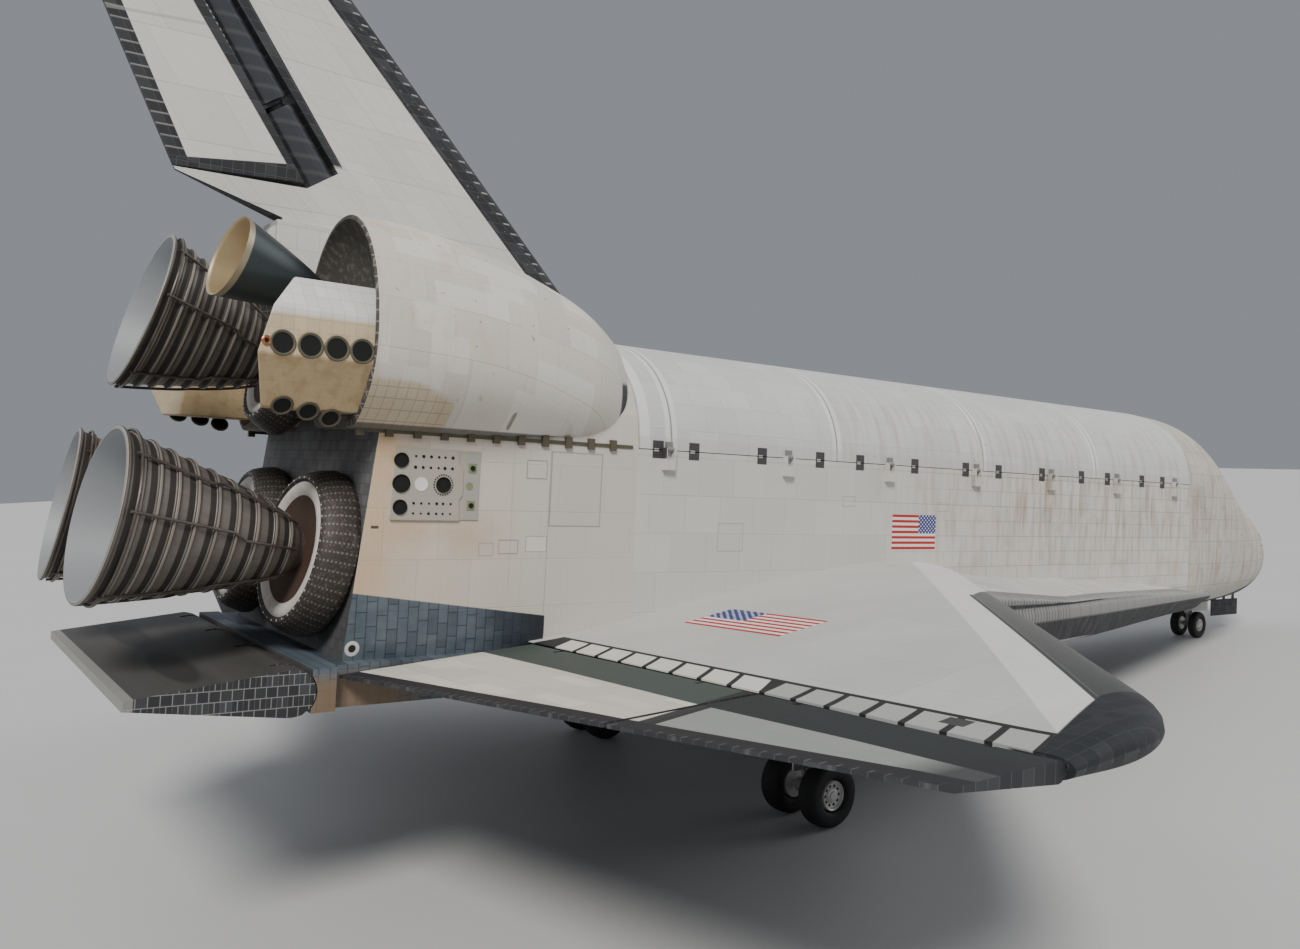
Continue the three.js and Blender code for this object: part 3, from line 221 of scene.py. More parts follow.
class Finish:
    """One material, built from layers of colour, roughness and relief."""

    def __init__(self, name, colour, roughness=0.7, metallic=0.0):
        self.material = bpy.data.materials.new(name)
        self.material.use_nodes = True
        self.tree = self.material.node_tree
        self.shader = self.tree.nodes["Principled BSDF"]
        self.coat = rgba(colour)
        self.shader.inputs["Base Color"].default_value = self.coat
        self.shader.inputs["Roughness"].default_value = roughness
        self.shader.inputs["Metallic"].default_value = metallic
        self.rough = roughness
        self.relief = None

    def node(self, kind, settings, sockets, output=0):
        """Adds a node: its settings first, then the values or links of its sockets."""
        made = self.tree.nodes.new(kind)
        for name, value in settings.items():
            setattr(made, name, value)
        for name, value in sockets.items():
            if isinstance(value, Value):
                value = value.socket
            if isinstance(value, bpy.types.NodeSocket):
                self.tree.links.new(value, made.inputs[name])
            else:
                made.inputs[name].default_value = value
        return Value(self, made.outputs[output])

    def math(self, operation, *values):
        return self.node("ShaderNodeMath", {"operation": operation}, dict(enumerate(values)))

    def separated(self, vector):
        """The three parts of a vector."""
        parts = self.node("ShaderNodeSeparateXYZ", {}, {0: vector}).socket.node.outputs
        return [Value(self, part) for part in parts]

    def objects(self):
        """Object coordinates in metres."""
        return self.separated(self.node("ShaderNodeTexCoord", {}, {}, "Object"))

    def attribute(self, name):
        """The three parts of an attribute of the mesh."""
        return self.separated(self.node("ShaderNodeAttribute", {"attribute_name": name}, {}, "Vector"))

    def stations(self):
        """Station, distance to starboard and height in inches: the Object coordinates in metres,
        scaled to inches, turned level with the airframe and shifted to the datum."""
        shift = turned((0, 0, 0)) - ORIGIN
        cosine, sine = math.cos(NOSE_DOWN), math.sin(NOSE_DOWN)
        location = (shift[0], cosine * shift[1] - sine * shift[2], sine * shift[1] + cosine * shift[2])
        place = self.node("ShaderNodeTexCoord", {}, {}, "Object")
        level = self.node("ShaderNodeMapping", {"vector_type": "POINT"}, {
            "Vector": place, "Scale": (1 / INCH,) * 3, "Rotation": (NOSE_DOWN, 0, 0),
            "Location": (location[0] / INCH, location[1] / INCH - DATUM, location[2] / INCH)})
        lateral, forward, height = self.separated(level)
        return -forward, lateral, height

    def facing(self, axis):
        """How far the surface faces along one of the piece's own axes, from -1 to 1."""
        normal = self.node("ShaderNodeTexCoord", {}, {}, "Normal")
        return self.node("ShaderNodeSeparateXYZ", {}, {0: normal}, axis)

    def joined(self, u, v, w=0.0):
        return self.node("ShaderNodeCombineXYZ", {}, {0: u, 1: v, 2: w})

    def cloud(self, u, v, w=0.0, detail=4.0, roughness=0.55):
        """Smooth noise, about 0.5 on average, over places given in the noise's own widths."""
        return self.node("ShaderNodeTexNoise", {}, {
            "Vector": self.joined(u, v, w), "Scale": 1.0, "Detail": detail, "Roughness": roughness})

    def chance(self, u, v, w=0.0):
        """One random number for each whole pair of numbers."""
        return self.node("ShaderNodeTexWhiteNoise", {"noise_dimensions": "3D"}, {
            "Vector": self.joined(u, v, w)})

    def tiles(self, u, v, length, width, gap, stagger=0.5):
        """Joints and tone of a bond of tiles: rows are v over width, and each row is shifted."""
        row = (v / width).floor()
        along = u / length + row * stagger
        joint_u = abs(along.fraction() - 0.5) * length
        joint_v = abs((v / width).fraction() - 0.5) * width
        joints = joint_u.over((length - gap) / 2, gap).most(joint_v.over((width - gap) / 2, gap))
        return joints, self.chance(along.floor(), row)

    def layer(self, mask, colour, roughness=None):
        """Lays a colour over what is there, as far as the mask says."""
        self.coat = self.node("ShaderNodeMix", {"data_type": "RGBA", "blend_type": "MIX"}, {
            0: mask, 6: self.coat, 7: rgba(colour)}, 2)
        if roughness is not None:
            self.rough = mask * roughness + (1 - mask) * self.rough

    def shade(self, factor):
        """Multiplies what is there by a grey."""
        self.coat = self.node("ShaderNodeMix", {"data_type": "RGBA", "blend_type": "MULTIPLY"}, {
            0: 1.0, 6: self.coat, 7: self.joined(factor, factor, factor)}, 2)

    def mottled(self, scale, detail, edge, soft, share, colour):
        """Lays a colour over the peaks of noise, some widths of it to the metre."""
        x, y, z = self.objects()
        self.layer(self.cloud(x * scale, y * scale, z * scale, detail).over(edge, soft) * share, colour)
        return self

    def raise_by(self, height):
        self.relief = height if self.relief is None else self.relief + height

    def done(self, depth=0.004):
        """Links the layers to the shader. Relief is in units of depth metres."""
        links = {"Base Color": self.coat, "Roughness": self.rough}
        if self.relief is not None:
            links["Normal"] = self.node("ShaderNodeBump", {}, {
                "Strength": 1.0, "Distance": depth, "Height": self.relief})
        for name, value in links.items():
            if isinstance(value, Value):
                self.tree.links.new(value.socket, self.shader.inputs[name])
        return self.material


def dress(names, material):
    """Gives CAD pieces their material."""
    for name in names:
        node = frame["nodes"][name]
        node.data.materials.clear()
        node.data.materials.append(material)


WHITE_FELT = (0.60, 0.585, 0.555)
BEIGE_FELT = (0.66, 0.58, 0.47)
TILE_BLACK = (0.022, 0.023, 0.027)
TILE_GREY = (0.10, 0.105, 0.11)
SEAM_DARK = (0.16, 0.15, 0.14)
STAIN_BROWN = (0.30, 0.22, 0.15)


def black_tiles(finish, mask, u, v, size=6.0, colour=TILE_BLACK):
    """Black tiles under a mask: each has its own grey, and joints show as thin pale lines."""
    joints, tone = finish.tiles(u, v, size, size, 0.35, 0.0)
    finish.layer(mask, colour, 0.72)
    finish.layer(mask * tone.power(3) * 0.35, TILE_GREY)
    finish.layer(mask * joints * 0.4, 0.16)
    finish.raise_by(mask * (1 - joints))


def belly_tiles(finish, mask, station, lateral, size=8.5):
    """Black tiles laid slantwise, as on the belly."""
    black_tiles(finish, mask, station + lateral, station - lateral, size)


def felt(finish, station, height, patch=(31, 26), weave=5.0):
    """Felt blankets: patches of slightly different white with sewn seams and a fine sewn grid."""
    seams, tone = finish.tiles(station, height, *patch, 0.5, 0.37)
    stitches, _ = finish.tiles(station, height, weave, weave, 0.3, 0.0)
    finish.shade(0.94 + tone * 0.08)
    finish.shade(1 - seams * 0.14 - stitches * 0.035)
    finish.shade(0.94 + finish.cloud(station / 60, height / 60, 3.0) * 0.12)
    finish.raise_by(0.6 - seams * 0.6 - stitches * 0.25)


def bulkhead(finish, mask, lateral, height):
    """A bay's end wall: pale quilted blankets in squares."""
    seams, tone = finish.tiles(lateral, height, 19, 19, 0.7, 0.0)
    finish.layer(mask, (0.50, 0.50, 0.48), 0.7)
    finish.layer(mask * tone * 0.3, (0.60, 0.595, 0.57))
    finish.layer(mask * seams * 0.5, SEAM_DARK)


def plate(finish, station, height, rectangle, share, colour=(0.3, 0.28, 0.25), edge=0.5):
    """An access plate: a thin dark outline around a face with a share of its own colour."""
    inner = within(station, height, rectangle, margin=edge)
    finish.layer(within(station, height, rectangle) * (1 - inner) * 0.55, SEAM_DARK)
    finish.layer(inner * share, colour)


def streaks(finish, mask, along, height, seed, strength=0.6):
    """Brown stains that run down the side: noise stretched along the height."""
    run = finish.cloud(along / 7, height / 60, seed, 5.0).over(0.56, 0.18)
    finish.layer(mask * run * strength, STAIN_BROWN)


FLAG_RED = (0.46, 0.025, 0.02)
FLAG_BLUE = (0.025, 0.04, 0.20)
FLAG_WHITE = (0.78, 0.77, 0.75)
STRIPES = 13
CANTON = (0.4, 7 / 13)


def striped_flag(finish, across, down, shown):
    """Thirteen stripes and a blue corner with rows of round dots: across and down run from 0 at
    the corner to 1, and shown is where the flag is."""
    inside = within(across, down, (0, 1, 0, 1), 0.01) * shown
    red = 1 - (down * (STRIPES / 2)).fraction().over(0.5, 0.05)
    corner = across.under(CANTON[0], 0.01) * down.under(CANTON[1], 0.01)
    rows, columns = down / CANTON[1] * 9, across / CANTON[0] * 11
    odd = (rows.floor() + columns.floor()) / 2
    dots = distance(columns.fraction() - 0.5, rows.fraction() - 0.5).under(0.36, 0.15)
    dots = dots * odd.fraction().under(0.25, 0.1)
    finish.layer(inside, FLAG_WHITE)
    finish.layer(inside * red, FLAG_RED)
    finish.layer(inside * corner, FLAG_BLUE)
    finish.layer(inside * corner * dots, FLAG_WHITE)


PATCH_STATIONS = [640, 680, 743, 788, 852, 917, 963, 1029, 1094, 1138, 1197, 1260, 1291]


def hinge_patches(finish, station, height):
    """Black tiles around the door hinges: a block with a pale notch at each."""
    for middle in PATCH_STATIONS:
        block = within(station, height, (middle - 4.6, middle + 4.6, 414.5, 426.5), 0.4)
        notch = within(station, height, (middle - 0.6, middle + 3.4, 419.2, 421.2), 0.4)
        finish.layer(block * (1 - notch * 0.8) * 0.95, (0.022, 0.022, 0.024), 0.6)


# Mid fuselage
# The box that carries the payload bay: aluminium frames and skin under white felt blankets and,
# forward, larger tile panels; the belly wears black tiles.

FLAG_FORE, FLAG_AFT, FLAG_LOW, FLAG_HIGH = 1000, 1054, 353, 381
BELLY_LINE = 294
# Columns: fore and aft station, low and high edge of an access plate.
WALL_PLATES = [(1098, 1112, 386, 394), (984, 998, 384, 392), (1212, 1236, 352, 372), (836, 850, 378, 388)]

wall = Finish("blankets_of_the_side_wall", WHITE_FELT, 0.85)
station, lateral, height = wall.stations()
felt(wall, station, height)
forward_part = station.under(1010, 160)
panels, panel_tone = wall.tiles(station, height, 22, 13, 0.45, 0.31)
wall.layer(forward_part * panel_tone.over(0.7, 0.2) * 0.35, BEIGE_FELT)
wall.layer(forward_part * panels * 0.6, SEAM_DARK)
streaks(wall, station.under(980, 240) * height.over(345, 60), station, height, 11.0, 0.65)
wall.layer(wall.cloud(station / 30, height / 25, 5.0).over(0.62, 0.2) * forward_part * 0.3, STAIN_BROWN)
for rectangle in WALL_PLATES:
    plate(wall, station, height, rectangle, 0.03)
across, down = (station - FLAG_FORE) / (FLAG_AFT - FLAG_FORE), (FLAG_HIGH - height) / (FLAG_HIGH - FLAG_LOW)
striped_flag(wall, across, down, abs(lateral).over(90, 1))
hinge_patches(wall, station, height)
bay = abs(lateral).under(97, 0.5) * height.between(300, 419)
wall.layer(bay, (0.46, 0.465, 0.45), 0.6)
liner_seams, liner_tone = wall.tiles(station, height + abs(lateral), 56.7, 24, 1.4, 0.0)
wall.layer(bay * liner_tone * 0.3, (0.60, 0.595, 0.57))
wall.layer(bay * (station / 56.7).fraction().under(0.09, 0.02) * 0.55, (0.62, 0.62, 0.60))
wall.layer(bay * liner_seams * 0.6, (0.16, 0.16, 0.155))
belly_tiles(wall, height.under(BELLY_LINE, 0.5), station, lateral)
dress(["mid_fuselage"], wall.done())


# Shapes
# Closed meshes from rings, boxes and turned profiles. Their places are stations until a mesh is made.

SIDES = {"starboard": 1, "port": -1}


def circle(count):
    """Angles spread evenly over a full turn."""
    return np.linspace(0, 2 * math.pi, count, endpoint=False)


def ring_quads(rows, columns, around=False):
    """Quads between neighbouring places of rings that are numbered one after another."""
    row, column = np.arange(rows - (not around))[:, None], np.arange(columns)
    next_row, next_column = (row + 1) % rows, (column + 1) % columns
    quads = [row * columns + column, next_row * columns + column,
             next_row * columns + next_column, row * columns + next_column]
    return np.stack(quads, -1).reshape(-1, 4).tolist()


def closed_mesh(name, points, faces, turns=None):
    """A closed mesh from places on the floor: seams and poles are welded, and faces turned outwards."""
    data = bpy.data.meshes.new(name)
    data.from_pydata(points.tolist(), [], faces)
    if turns is not None:
        data.attributes.new("turned", "FLOAT_VECTOR", "POINT").data.foreach_set("vector", turns.ravel())
    work = bmesh.new()
    work.from_mesh(data)
    bmesh.ops.remove_doubles(work, verts=work.verts, dist=1e-5)
    bmesh.ops.recalc_face_normals(work, faces=work.faces)
    work.to_mesh(data)
    work.free()
    return data


def creased(data, sharp):
    """Shades a mesh smoothly, apart from edges that are sharper than some degrees."""
    data.shade_smooth()
    data.set_sharp_from_angle(angle=math.radians(sharp))


def mesh_piece(name, points, faces, material, body="airframe", sharp=35, turns=None):
    data = closed_mesh(name, points, faces, turns)
    creased(data, sharp)
    data.materials.append(material)
    piece = linked(name, data)
    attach(piece, body)
    return piece


def several(name, shapes, material, body="airframe", sharp=35):
    """One piece from several closed shapes, each a pair of places and faces."""
    starts = np.cumsum([0] + [len(points) for points, _ in shapes])
    faces = [[index + start for index in face] for start, (_, own) in zip(starts, shapes) for face in own]
    points = placed(np.concatenate([points for points, _ in shapes]))
    return mesh_piece(name, points, faces, material, body, sharp)


def tube_shape(rings):
    """Skins rings of places, given as stations, and closes the first and the last ring."""
    rows, columns = rings.shape[:2]
    last = (rows - 1) * columns
    ends = [list(range(columns)), list(range(last, last + columns))]
    return rings.reshape(-1, 3), ring_quads(rows, columns) + ends


def tube_piece(name, rings, material, body="airframe", sharp=35):
    return several(name, [tube_shape(rings)], material, body, sharp)


def box_shape(fore, aft, inner, outer, low, high):
    """A box between stations, distances to starboard and heights."""
    corners = [(s, y, z) for s in (fore, aft) for y in (inner, outer) for z in (low, high)]
    faces = [[0, 1, 3, 2], [4, 6, 7, 5], [0, 4, 5, 1], [2, 3, 7, 6], [0, 2, 6, 4], [1, 5, 7, 3]]
    return np.array(corners, float), faces


def axis_frame(axis):
    """A direction of length one, and two directions that are square to it."""
    axis = np.asarray(axis, float) / np.linalg.norm(axis)
    side = np.cross(axis, (0, 0, 1) if abs(axis[2]) < 0.9 else (1, 0, 0))
    side /= np.linalg.norm(side)
    return axis, side, np.cross(side, axis)


def outward(angle, side, up):
    """Directions at some angles, between two directions that are square to an axis."""
    angle = np.asarray(angle)[..., None]
    return np.cos(angle) * side + np.sin(angle) * up


def turned_shape(centre, axis, profile, sides):
    """A closed profile of (radius, distance along) pairs, turned about an axis in stations."""
    axis, side, up = axis_frame(axis)
    profile = np.asarray(profile, float)[:, None]
    out = outward(circle(sides), side, up)
    points = np.asarray(centre, float) + profile[..., 1:] * axis + profile[..., :1] * out
    return points.reshape(-1, 3), ring_quads(len(profile), sides, around=True)


def turned_piece(name, centre, axis, profile, sides, material, body="airframe", sharp=35):
    """A turned shape as a piece, whose attribute holds cosine, sine and distance along the axis."""
    points, faces = turned_shape(centre, axis, profile, sides)
    along = np.asarray(profile, float)[:, 1:]
    turns = np.stack(np.broadcast_arrays(np.cos(circle(sides)), np.sin(circle(sides)), along), -1)
    return mesh_piece(name, placed(points), faces, material, body, sharp, turns)


def smooth_rows(table, places):
    """Values of a table between its rows: Catmull-Rom curves through each column."""
    keys = table[:, 0]
    slopes = np.gradient(table, keys, axis=0)
    index = np.clip(np.searchsorted(keys, places, "right") - 1, 0, len(keys) - 2)
    span = keys[index + 1] - keys[index]
    t = ((places - keys[index]) / span)[:, None]
    span = span[:, None]
    return ((2 * t ** 3 - 3 * t ** 2 + 1) * table[index] + (t ** 3 - 2 * t ** 2 + t) * span * slopes[index]
            + (3 * t ** 2 - 2 * t ** 3) * table[index + 1] + (t ** 3 - t ** 2) * span * slopes[index + 1])


def carved(piece, cutters):
    """Cuts closed shapes out of a piece, with a Boolean for each."""
    made = [linked("cutter", closed_mesh("cutter", placed(points), faces)) for points, faces in cutters]
    for cutter in made:
        cut = piece.modifiers.new("cut", "BOOLEAN")
        cut.operation, cut.solver, cut.object = "DIFFERENCE", "EXACT", cutter
    graph = bpy.context.evaluated_depsgraph_get()
    graph.update()
    data = bpy.data.meshes.new_from_object(piece.evaluated_get(graph))
    piece.modifiers.clear()
    piece.data = data
    for cutter in made:
        bpy.data.objects.remove(cutter)
    creased(data, 32)


def mark_bands(piece, centre, axis, level):
    """Writes the bands of a turned piece as an attribute: level gives them from the radius and the
    distance along the axis of each vertex."""
    count = len(piece.data.vertices)
    place = np.empty(count * 3, np.float32)
    piece.data.vertices.foreach_get("co", place)
    offset = (place.reshape(-1, 3) - placed(centre)) / INCH
    axis = turned(axis) / INCH
    along = offset @ axis
    radius = np.linalg.norm(offset - along[:, None] * axis, axis=1)
    values = np.stack([*level(radius, along), np.zeros(count)], -1)
    piece.data.attributes.new("band", "FLOAT_VECTOR", "POINT").data.foreach_set("vector", values.ravel())


# Payload bay doors
# Each door is a curved shell of honeycomb panels under white felt, hung on the sill at knuckles.
# Sections meet at seams, and radiator panels line the inside.

BAY_START, BAY_END = 582.0, 1307.0
WALL_LINE, HULL_TOP, HALF_WIDTH, UPPER_POWER = 420.0, 500.0, 102.0, 2.2
DOOR_THICKNESS, DOOR_LIFT = 5.0, 0.55
DOOR_SEAMS = [763, 939, 1120, 1280]
HINGE_STATIONS = range(617, 1284, 111)
# The part of a door's ring that radiators line, and the share by which they stand inside it.
LINED_PLACES, LINING_SHARE = slice(52, 94), 0.012
# Columns: fore and aft station of a radiator panel.
RADIATORS = [(594, 757), (769, 933), (945, 1114), (1126, 1274)]


def door_rings(side):
    """Closed rings of a door at its two ends: out over the superellipse of the roof, and back
    along the same curve drawn in by the door's thickness; it is lifted a little near the sill."""
    share = np.linspace(0, 1, 49)
    angle = share * math.pi / 2

    def arc(inset):
        across = np.abs(np.cos(angle)) ** (2 / UPPER_POWER)
        rise = np.abs(np.sin(angle)) ** (2 / UPPER_POWER)
        lateral = np.maximum((HALF_WIDTH - inset) * across, 0.4)
        height = WALL_LINE + (HULL_TOP - WALL_LINE - inset) * rise + DOOR_LIFT * (1 - share)
        return np.stack([lateral * side, height], -1)

    ring = np.concatenate([arc(0), arc(DOOR_THICKNESS)[::-1]])
    stations = np.array([BAY_START + 1, BAY_END - 1])
    return np.concatenate([np.broadcast_to(stations[:, None, None], (2, len(ring), 1)),
                           np.broadcast_to(ring, (2, *ring.shape))], -1)


door = Finish("felt_of_the_bay_doors", (0.58, 0.585, 0.58), 0.8)
station, lateral, height = door.stations()
around = abs(lateral) - (height - WALL_LINE) * 0.9
felt(door, station, around, (27.8, 22), 6.95)
for seam in DOOR_SEAMS:
    door.layer(station.between(seam - 5, seam + 5, 1) * 0.55, (0.80, 0.80, 0.78))
    door.layer(station.between(seam - 0.7, seam + 0.7, 0.5) * 0.75, 0.12)
door.layer(station.between(BAY_END - 9, BAY_END, 1) * 0.6, (0.80, 0.80, 0.78))
streaks(door, height.under(478, 30) * station.under(1130, 60), station, height, 23.0, 0.28)
spots = door.cloud(station / 9, height / 9, 7.0).over(0.70, 0.06)
door.layer(spots * height.under(470, 30) * 0.35, STAIN_BROWN)
door.layer(height.under(429, 0.8) * 0.35, (0.5, 0.48, 0.44))
hinge_patches(door, station, height)
door_white = door.done()

radiator = Finish("radiator_panels", (0.62, 0.63, 0.65), 0.35, 0.5)
station, lateral, height = radiator.stations()
tubes, tube_tone = radiator.tiles(station, abs(lateral) - height, 180, 4.6, 0.5, 0.0)
radiator.shade(0.85 + tube_tone * 0.15)
radiator.raise_by(1 - tubes)
radiator_silver = radiator.done()

KNUCKLE_PROFILE = [(0.62, -2.5), (1.5, -2.5), (1.5, 2.5), (0.62, 2.5)]
latch_metal = Finish("hinge_fittings", (0.30, 0.30, 0.29), 0.5, 0.6).done()

for name, side in SIDES.items():
    body = f"{name}_bay_door"
    shell = tube_piece(f"{name}_door_shell", door_rings(side), door_white, body, 40)
    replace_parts(shell, body)
    knuckles = []
    for hinge in HINGE_STATIONS:
        knuckles.append(box_shape(hinge - 2.5, hinge + 2.5, side * 99, side * 104.4, 421.1, 426))
        knuckles.append(turned_shape((hinge, side * 104.4, 421), (1, 0, 0), KNUCKLE_PROFILE, 20))
    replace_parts(several(f"{name}_door_knuckles", knuckles, latch_metal, body), body)
    inner = door_rings(side)[:, LINED_PLACES]
    lining = inner - (inner - (0, 0, WALL_LINE)) * (0, LINING_SHARE, LINING_SHARE)
    for first, last in RADIATORS:
        sheet = np.concatenate([inner, lining[:, ::-1]], 1)
        sheet[0, :, 0], sheet[1, :, 0] = first, last
        tube_piece(f"{name}_radiator_{first}", sheet, radiator_silver, body, 40)


# Aft fuselage
# The engine bay: felt-covered sides that have yellowed near the base, a wedge of bluish tiles low
# down at the back, a dark base, and on each side a plate of umbilical couplings.

aft = Finish("felt_of_the_aft_fuselage", (0.62, 0.56, 0.475), 0.85)
station, lateral, height = aft.stations()
felt(aft, station, height, (34, 29), 4.6)
aft.layer(station.under(1400, 90) * 0.75, (0.56, 0.54, 0.505))
edge = station + (height - 400) * 0.11
burn = aft.cloud(station / 24, height / 40, 3.0, 5.0)
aft.layer(edge.over(1468, 34) * burn.over(0.38, 0.5) * 0.55, (0.62, 0.36, 0.17))
scorched = station.between(1410, 1485, 30) * height.between(352, 372, 16) * burn.over(0.45, 0.2)
aft.layer(scorched * 0.35, (0.55, 0.30, 0.14))
aft.layer(edge.between(1477.5, 1488.5, 1) * height.over(366, 3) * 0.25, (0.72, 0.45, 0.2))
# Columns: fore and aft station, low and high edge of a plate with a dotted outline.
for rectangle in [(1376, 1391, 397, 409), (1335, 1373.5, 368, 415), (1394, 1408, 351, 360)]:
    face = within(station, height, rectangle, margin=0.9)
    outline = within(station, height, rectangle) * (1 - face)
    dots = ((station + height * 0.01) / 1.6).fraction().between(0.2, 0.75, 0.2)
    dots = dots.most((height / 1.6).fraction().between(0.2, 0.75, 0.2))
    aft.layer(outline * dots * 0.6, (0.14, 0.13, 0.12))
plate(aft, station, height, (1335, 1373.5, 368, 415), 0.07, edge=0.2)
plate(aft, station, height, (1374, 1389, 352.3, 362.2), 0.35, (0.85, 0.84, 0.8))
plate(aft, station, height, (1411, 1421, 350, 358), 0.02)
aft.layer(station.between(1399.5, 1400.1, 0.3) * height.over(330, 8) * 0.25, SEAM_DARK)
aft.layer(station.between(1373.5, 1374.2, 0.3) * height.over(314, 1) * 0.35, SEAM_DARK)
aft.layer(within(station, height, (1484, 1488.5, 365.8, 367.4)) * 0.9, 0.02)

tile_line = 330 - (1497 - station) * (17 / 124)
blue = (tile_line - height).over(0, 0.6) * station.over(1373, 0.6)
joints, tone = aft.tiles(height, station, 14, 6.2, 0.5, 0.43)
aft.layer(blue, (0.045, 0.066, 0.092), 0.55)
haze = aft.cloud(station / 26, height / 16, 12.0, 4.0)
aft.layer(blue * haze.over(0.42, 0.4) * station.over(1395, 40) * 0.5, (0.19, 0.225, 0.25))
aft.layer(blue * tone.over(0.8, 0.1) * 0.3, (0.02, 0.03, 0.05))
aft.layer(blue * joints * 0.8, (0.012, 0.015, 0.022))
aft.layer(blue * station.under(1400, 44) * 0.9, (0.012, 0.014, 0.018))
aft.layer(blue * height.under(288, 8) * station.over(1462, 26) * 0.75, (0.22, 0.14, 0.07))
ring = distance(station - 1495.2, height - 299.6)
aft.layer(blue * ring.under(4.2, 0.4), (0.60, 0.60, 0.58))
aft.layer(blue * ring.under(2.2, 0.4), 0.012)

base = aft.facing("Y").under(-0.6, 0.2)
aft.layer(base, (0.085, 0.085, 0.088), 0.7)
base_joints, base_tone = aft.tiles(lateral, height, 6.2, 6.2, 0.5, 0.0)
aft.layer(base * base_tone * 0.45, (0.19, 0.185, 0.18))
aft.layer(base * base_joints * 0.5, (0.02, 0.02, 0.022))
aft.layer(base * height.under(350, 30) * 0.45, (0.03, 0.03, 0.033))
belly_tiles(aft, height.under(284, 0.6) * station.under(1373, 2), station, lateral)
belly_tiles(aft, aft.facing("Z").under(-0.8, 0.2), station, lateral)
bulkhead(aft, aft.facing("Y").over(0.8, 0.1) * station.under(1330, 1), lateral, height)
dress(["aft_fuselage"], aft.done())

hole_rim = Finish("dark_rims", (0.11, 0.10, 0.065), 0.55, 0.3).done()
# Painted shade: holes, sockets, bolt holes and thruster mouths are shallow dishes painted near black,
# standing in for the shade inside them.
painted_shade_black = Finish("painted_shade_in_recesses", 0.006, 0.9).done()

PANEL_FORE, PANEL_AFT, PANEL_LOW, PANEL_HIGH, PANEL_FACE = 1423.0, 1478.0, 371.0, 412.0, 103.2
# Columns: station, height, radius.
LARGE_COUPLINGS = [(1473.2, 404.8, 4.3), (1472.6, 391.6, 5.2), (1472.7, 378.2, 4.3)]
RINGED_COUPLING = (1446.6, 391.6, 4.6)
SMALL_ROWS = [(407.5, 0.95), (401.2, 0.95), (380.6, 0.85), (374.8, 0.8)]
SMALL_STATIONS = [1464.5, 1459.8, 1455.0, 1450.2, 1446.2, 1441.4]

plate_white = Finish("umbilical_plate", (0.41, 0.385, 0.33), 0.6)
station, _, height = plate_white.stations()
plate_white.layer(plate_white.cloud(station / 7, height / 5, 3.0).over(0.6, 0.1) * 0.35, (0.50, 0.42, 0.32))
plate_white.layer(station.under(1432.5, 0.5) * 0.8, (0.37, 0.36, 0.33))
plate_white.layer(station.between(1434, 1438, 1) * height.over(393, 2) * 0.4, (0.40, 0.34, 0.27))
plate_paint = plate_white.done()
olive = Finish("olive_blocks", (0.22, 0.25, 0.13), 0.6).done()
white_disc = Finish("white_disc", (0.78, 0.77, 0.74), 0.5).done()


def socket_shape(spot, radius, side, depth, rim):
    """A round coupling on the plate: a raised rim and a floor sunk behind it."""
    centre = (spot[0], side * PANEL_FACE, spot[1])
    profile = [(0.02, -0.5), (radius, -0.5), (radius, rim), (radius - 0.35, rim), (radius - 0.6, depth),
               (0.02, depth)]
    return turned_shape(centre, (0, side, 0), profile, 28)


for name, side in SIDES.items():
    fore, back = PANEL_FORE + 11, PANEL_AFT
    outline = [(fore + 1.5, PANEL_LOW), (back, PANEL_LOW), (back - 2, PANEL_HIGH), (fore + 4, PANEL_HIGH),
               (fore + 3, 404), (fore, 401), (fore, 386), (fore + 2, 383)]
    step = side * (PANEL_FACE - 0.7)
    rings = np.array([[(s, side * y, z) for s, z in outline] for y in (101, PANEL_FACE)], float)
    strip = box_shape(PANEL_FORE, fore + 4, side * 101, step, PANEL_LOW + 0.5, PANEL_HIGH)
    front = several(f"{name}_umbilical_plate", [strip, tube_shape(rings)], plate_paint)
    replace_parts(front, f"{name}_umbilical_panel")
    # The coupling sockets and bolt holes are painted near black as painted shade.
    black = [socket_shape(spot, spot[2], side, 0.1, 0.8) for spot in LARGE_COUPLINGS + [RINGED_COUPLING]]
    black += [socket_shape((s, z), r * (0.7 + 0.3 * ((k * 7 + i * 3) % 4) / 3), side, 0.15, 0.25)
              for i, (z, r) in enumerate(SMALL_ROWS) for k, s in enumerate(SMALL_STATIONS)]
    black += [socket_shape((s, z), 1.5, side, 0.0, 0.2) for s, z in ((1428, 402), (1428, 380))]
    several(f"{name}_couplings", black, painted_shade_black)
    marks = [socket_shape((RINGED_COUPLING[0] + 5.9 * math.cos(t), RINGED_COUPLING[1] + 5.9 * math.sin(t)),
                          0.42, side, 0.2, 0.25) for t in circle(24)]
    several(f"{name}_coupling_bolts", marks, painted_shade_black)
    blocks = [box_shape(1425.4, 1430.6, side * 102, side * (PANEL_FACE - 0.4), z - 2.8, z + 2.8)
              for z in (402, 380)]
    blocks.append(socket_shape((1429.5, 391.5), 2.2, side, -0.4, -0.35))
    several(f"{name}_olive_blocks", blocks, olive)
    several(f"{name}_plate_disc", [socket_shape((1460.4, 391.6), 4.0, side, 0.3, 0.35)], white_disc)


# Main engines
# Each engine's bell is a wall of fine tubes held by welded hatbands, with drain pipes running
# down to the rim, and it swings in a dome of metal and felt that closes the heat shield.

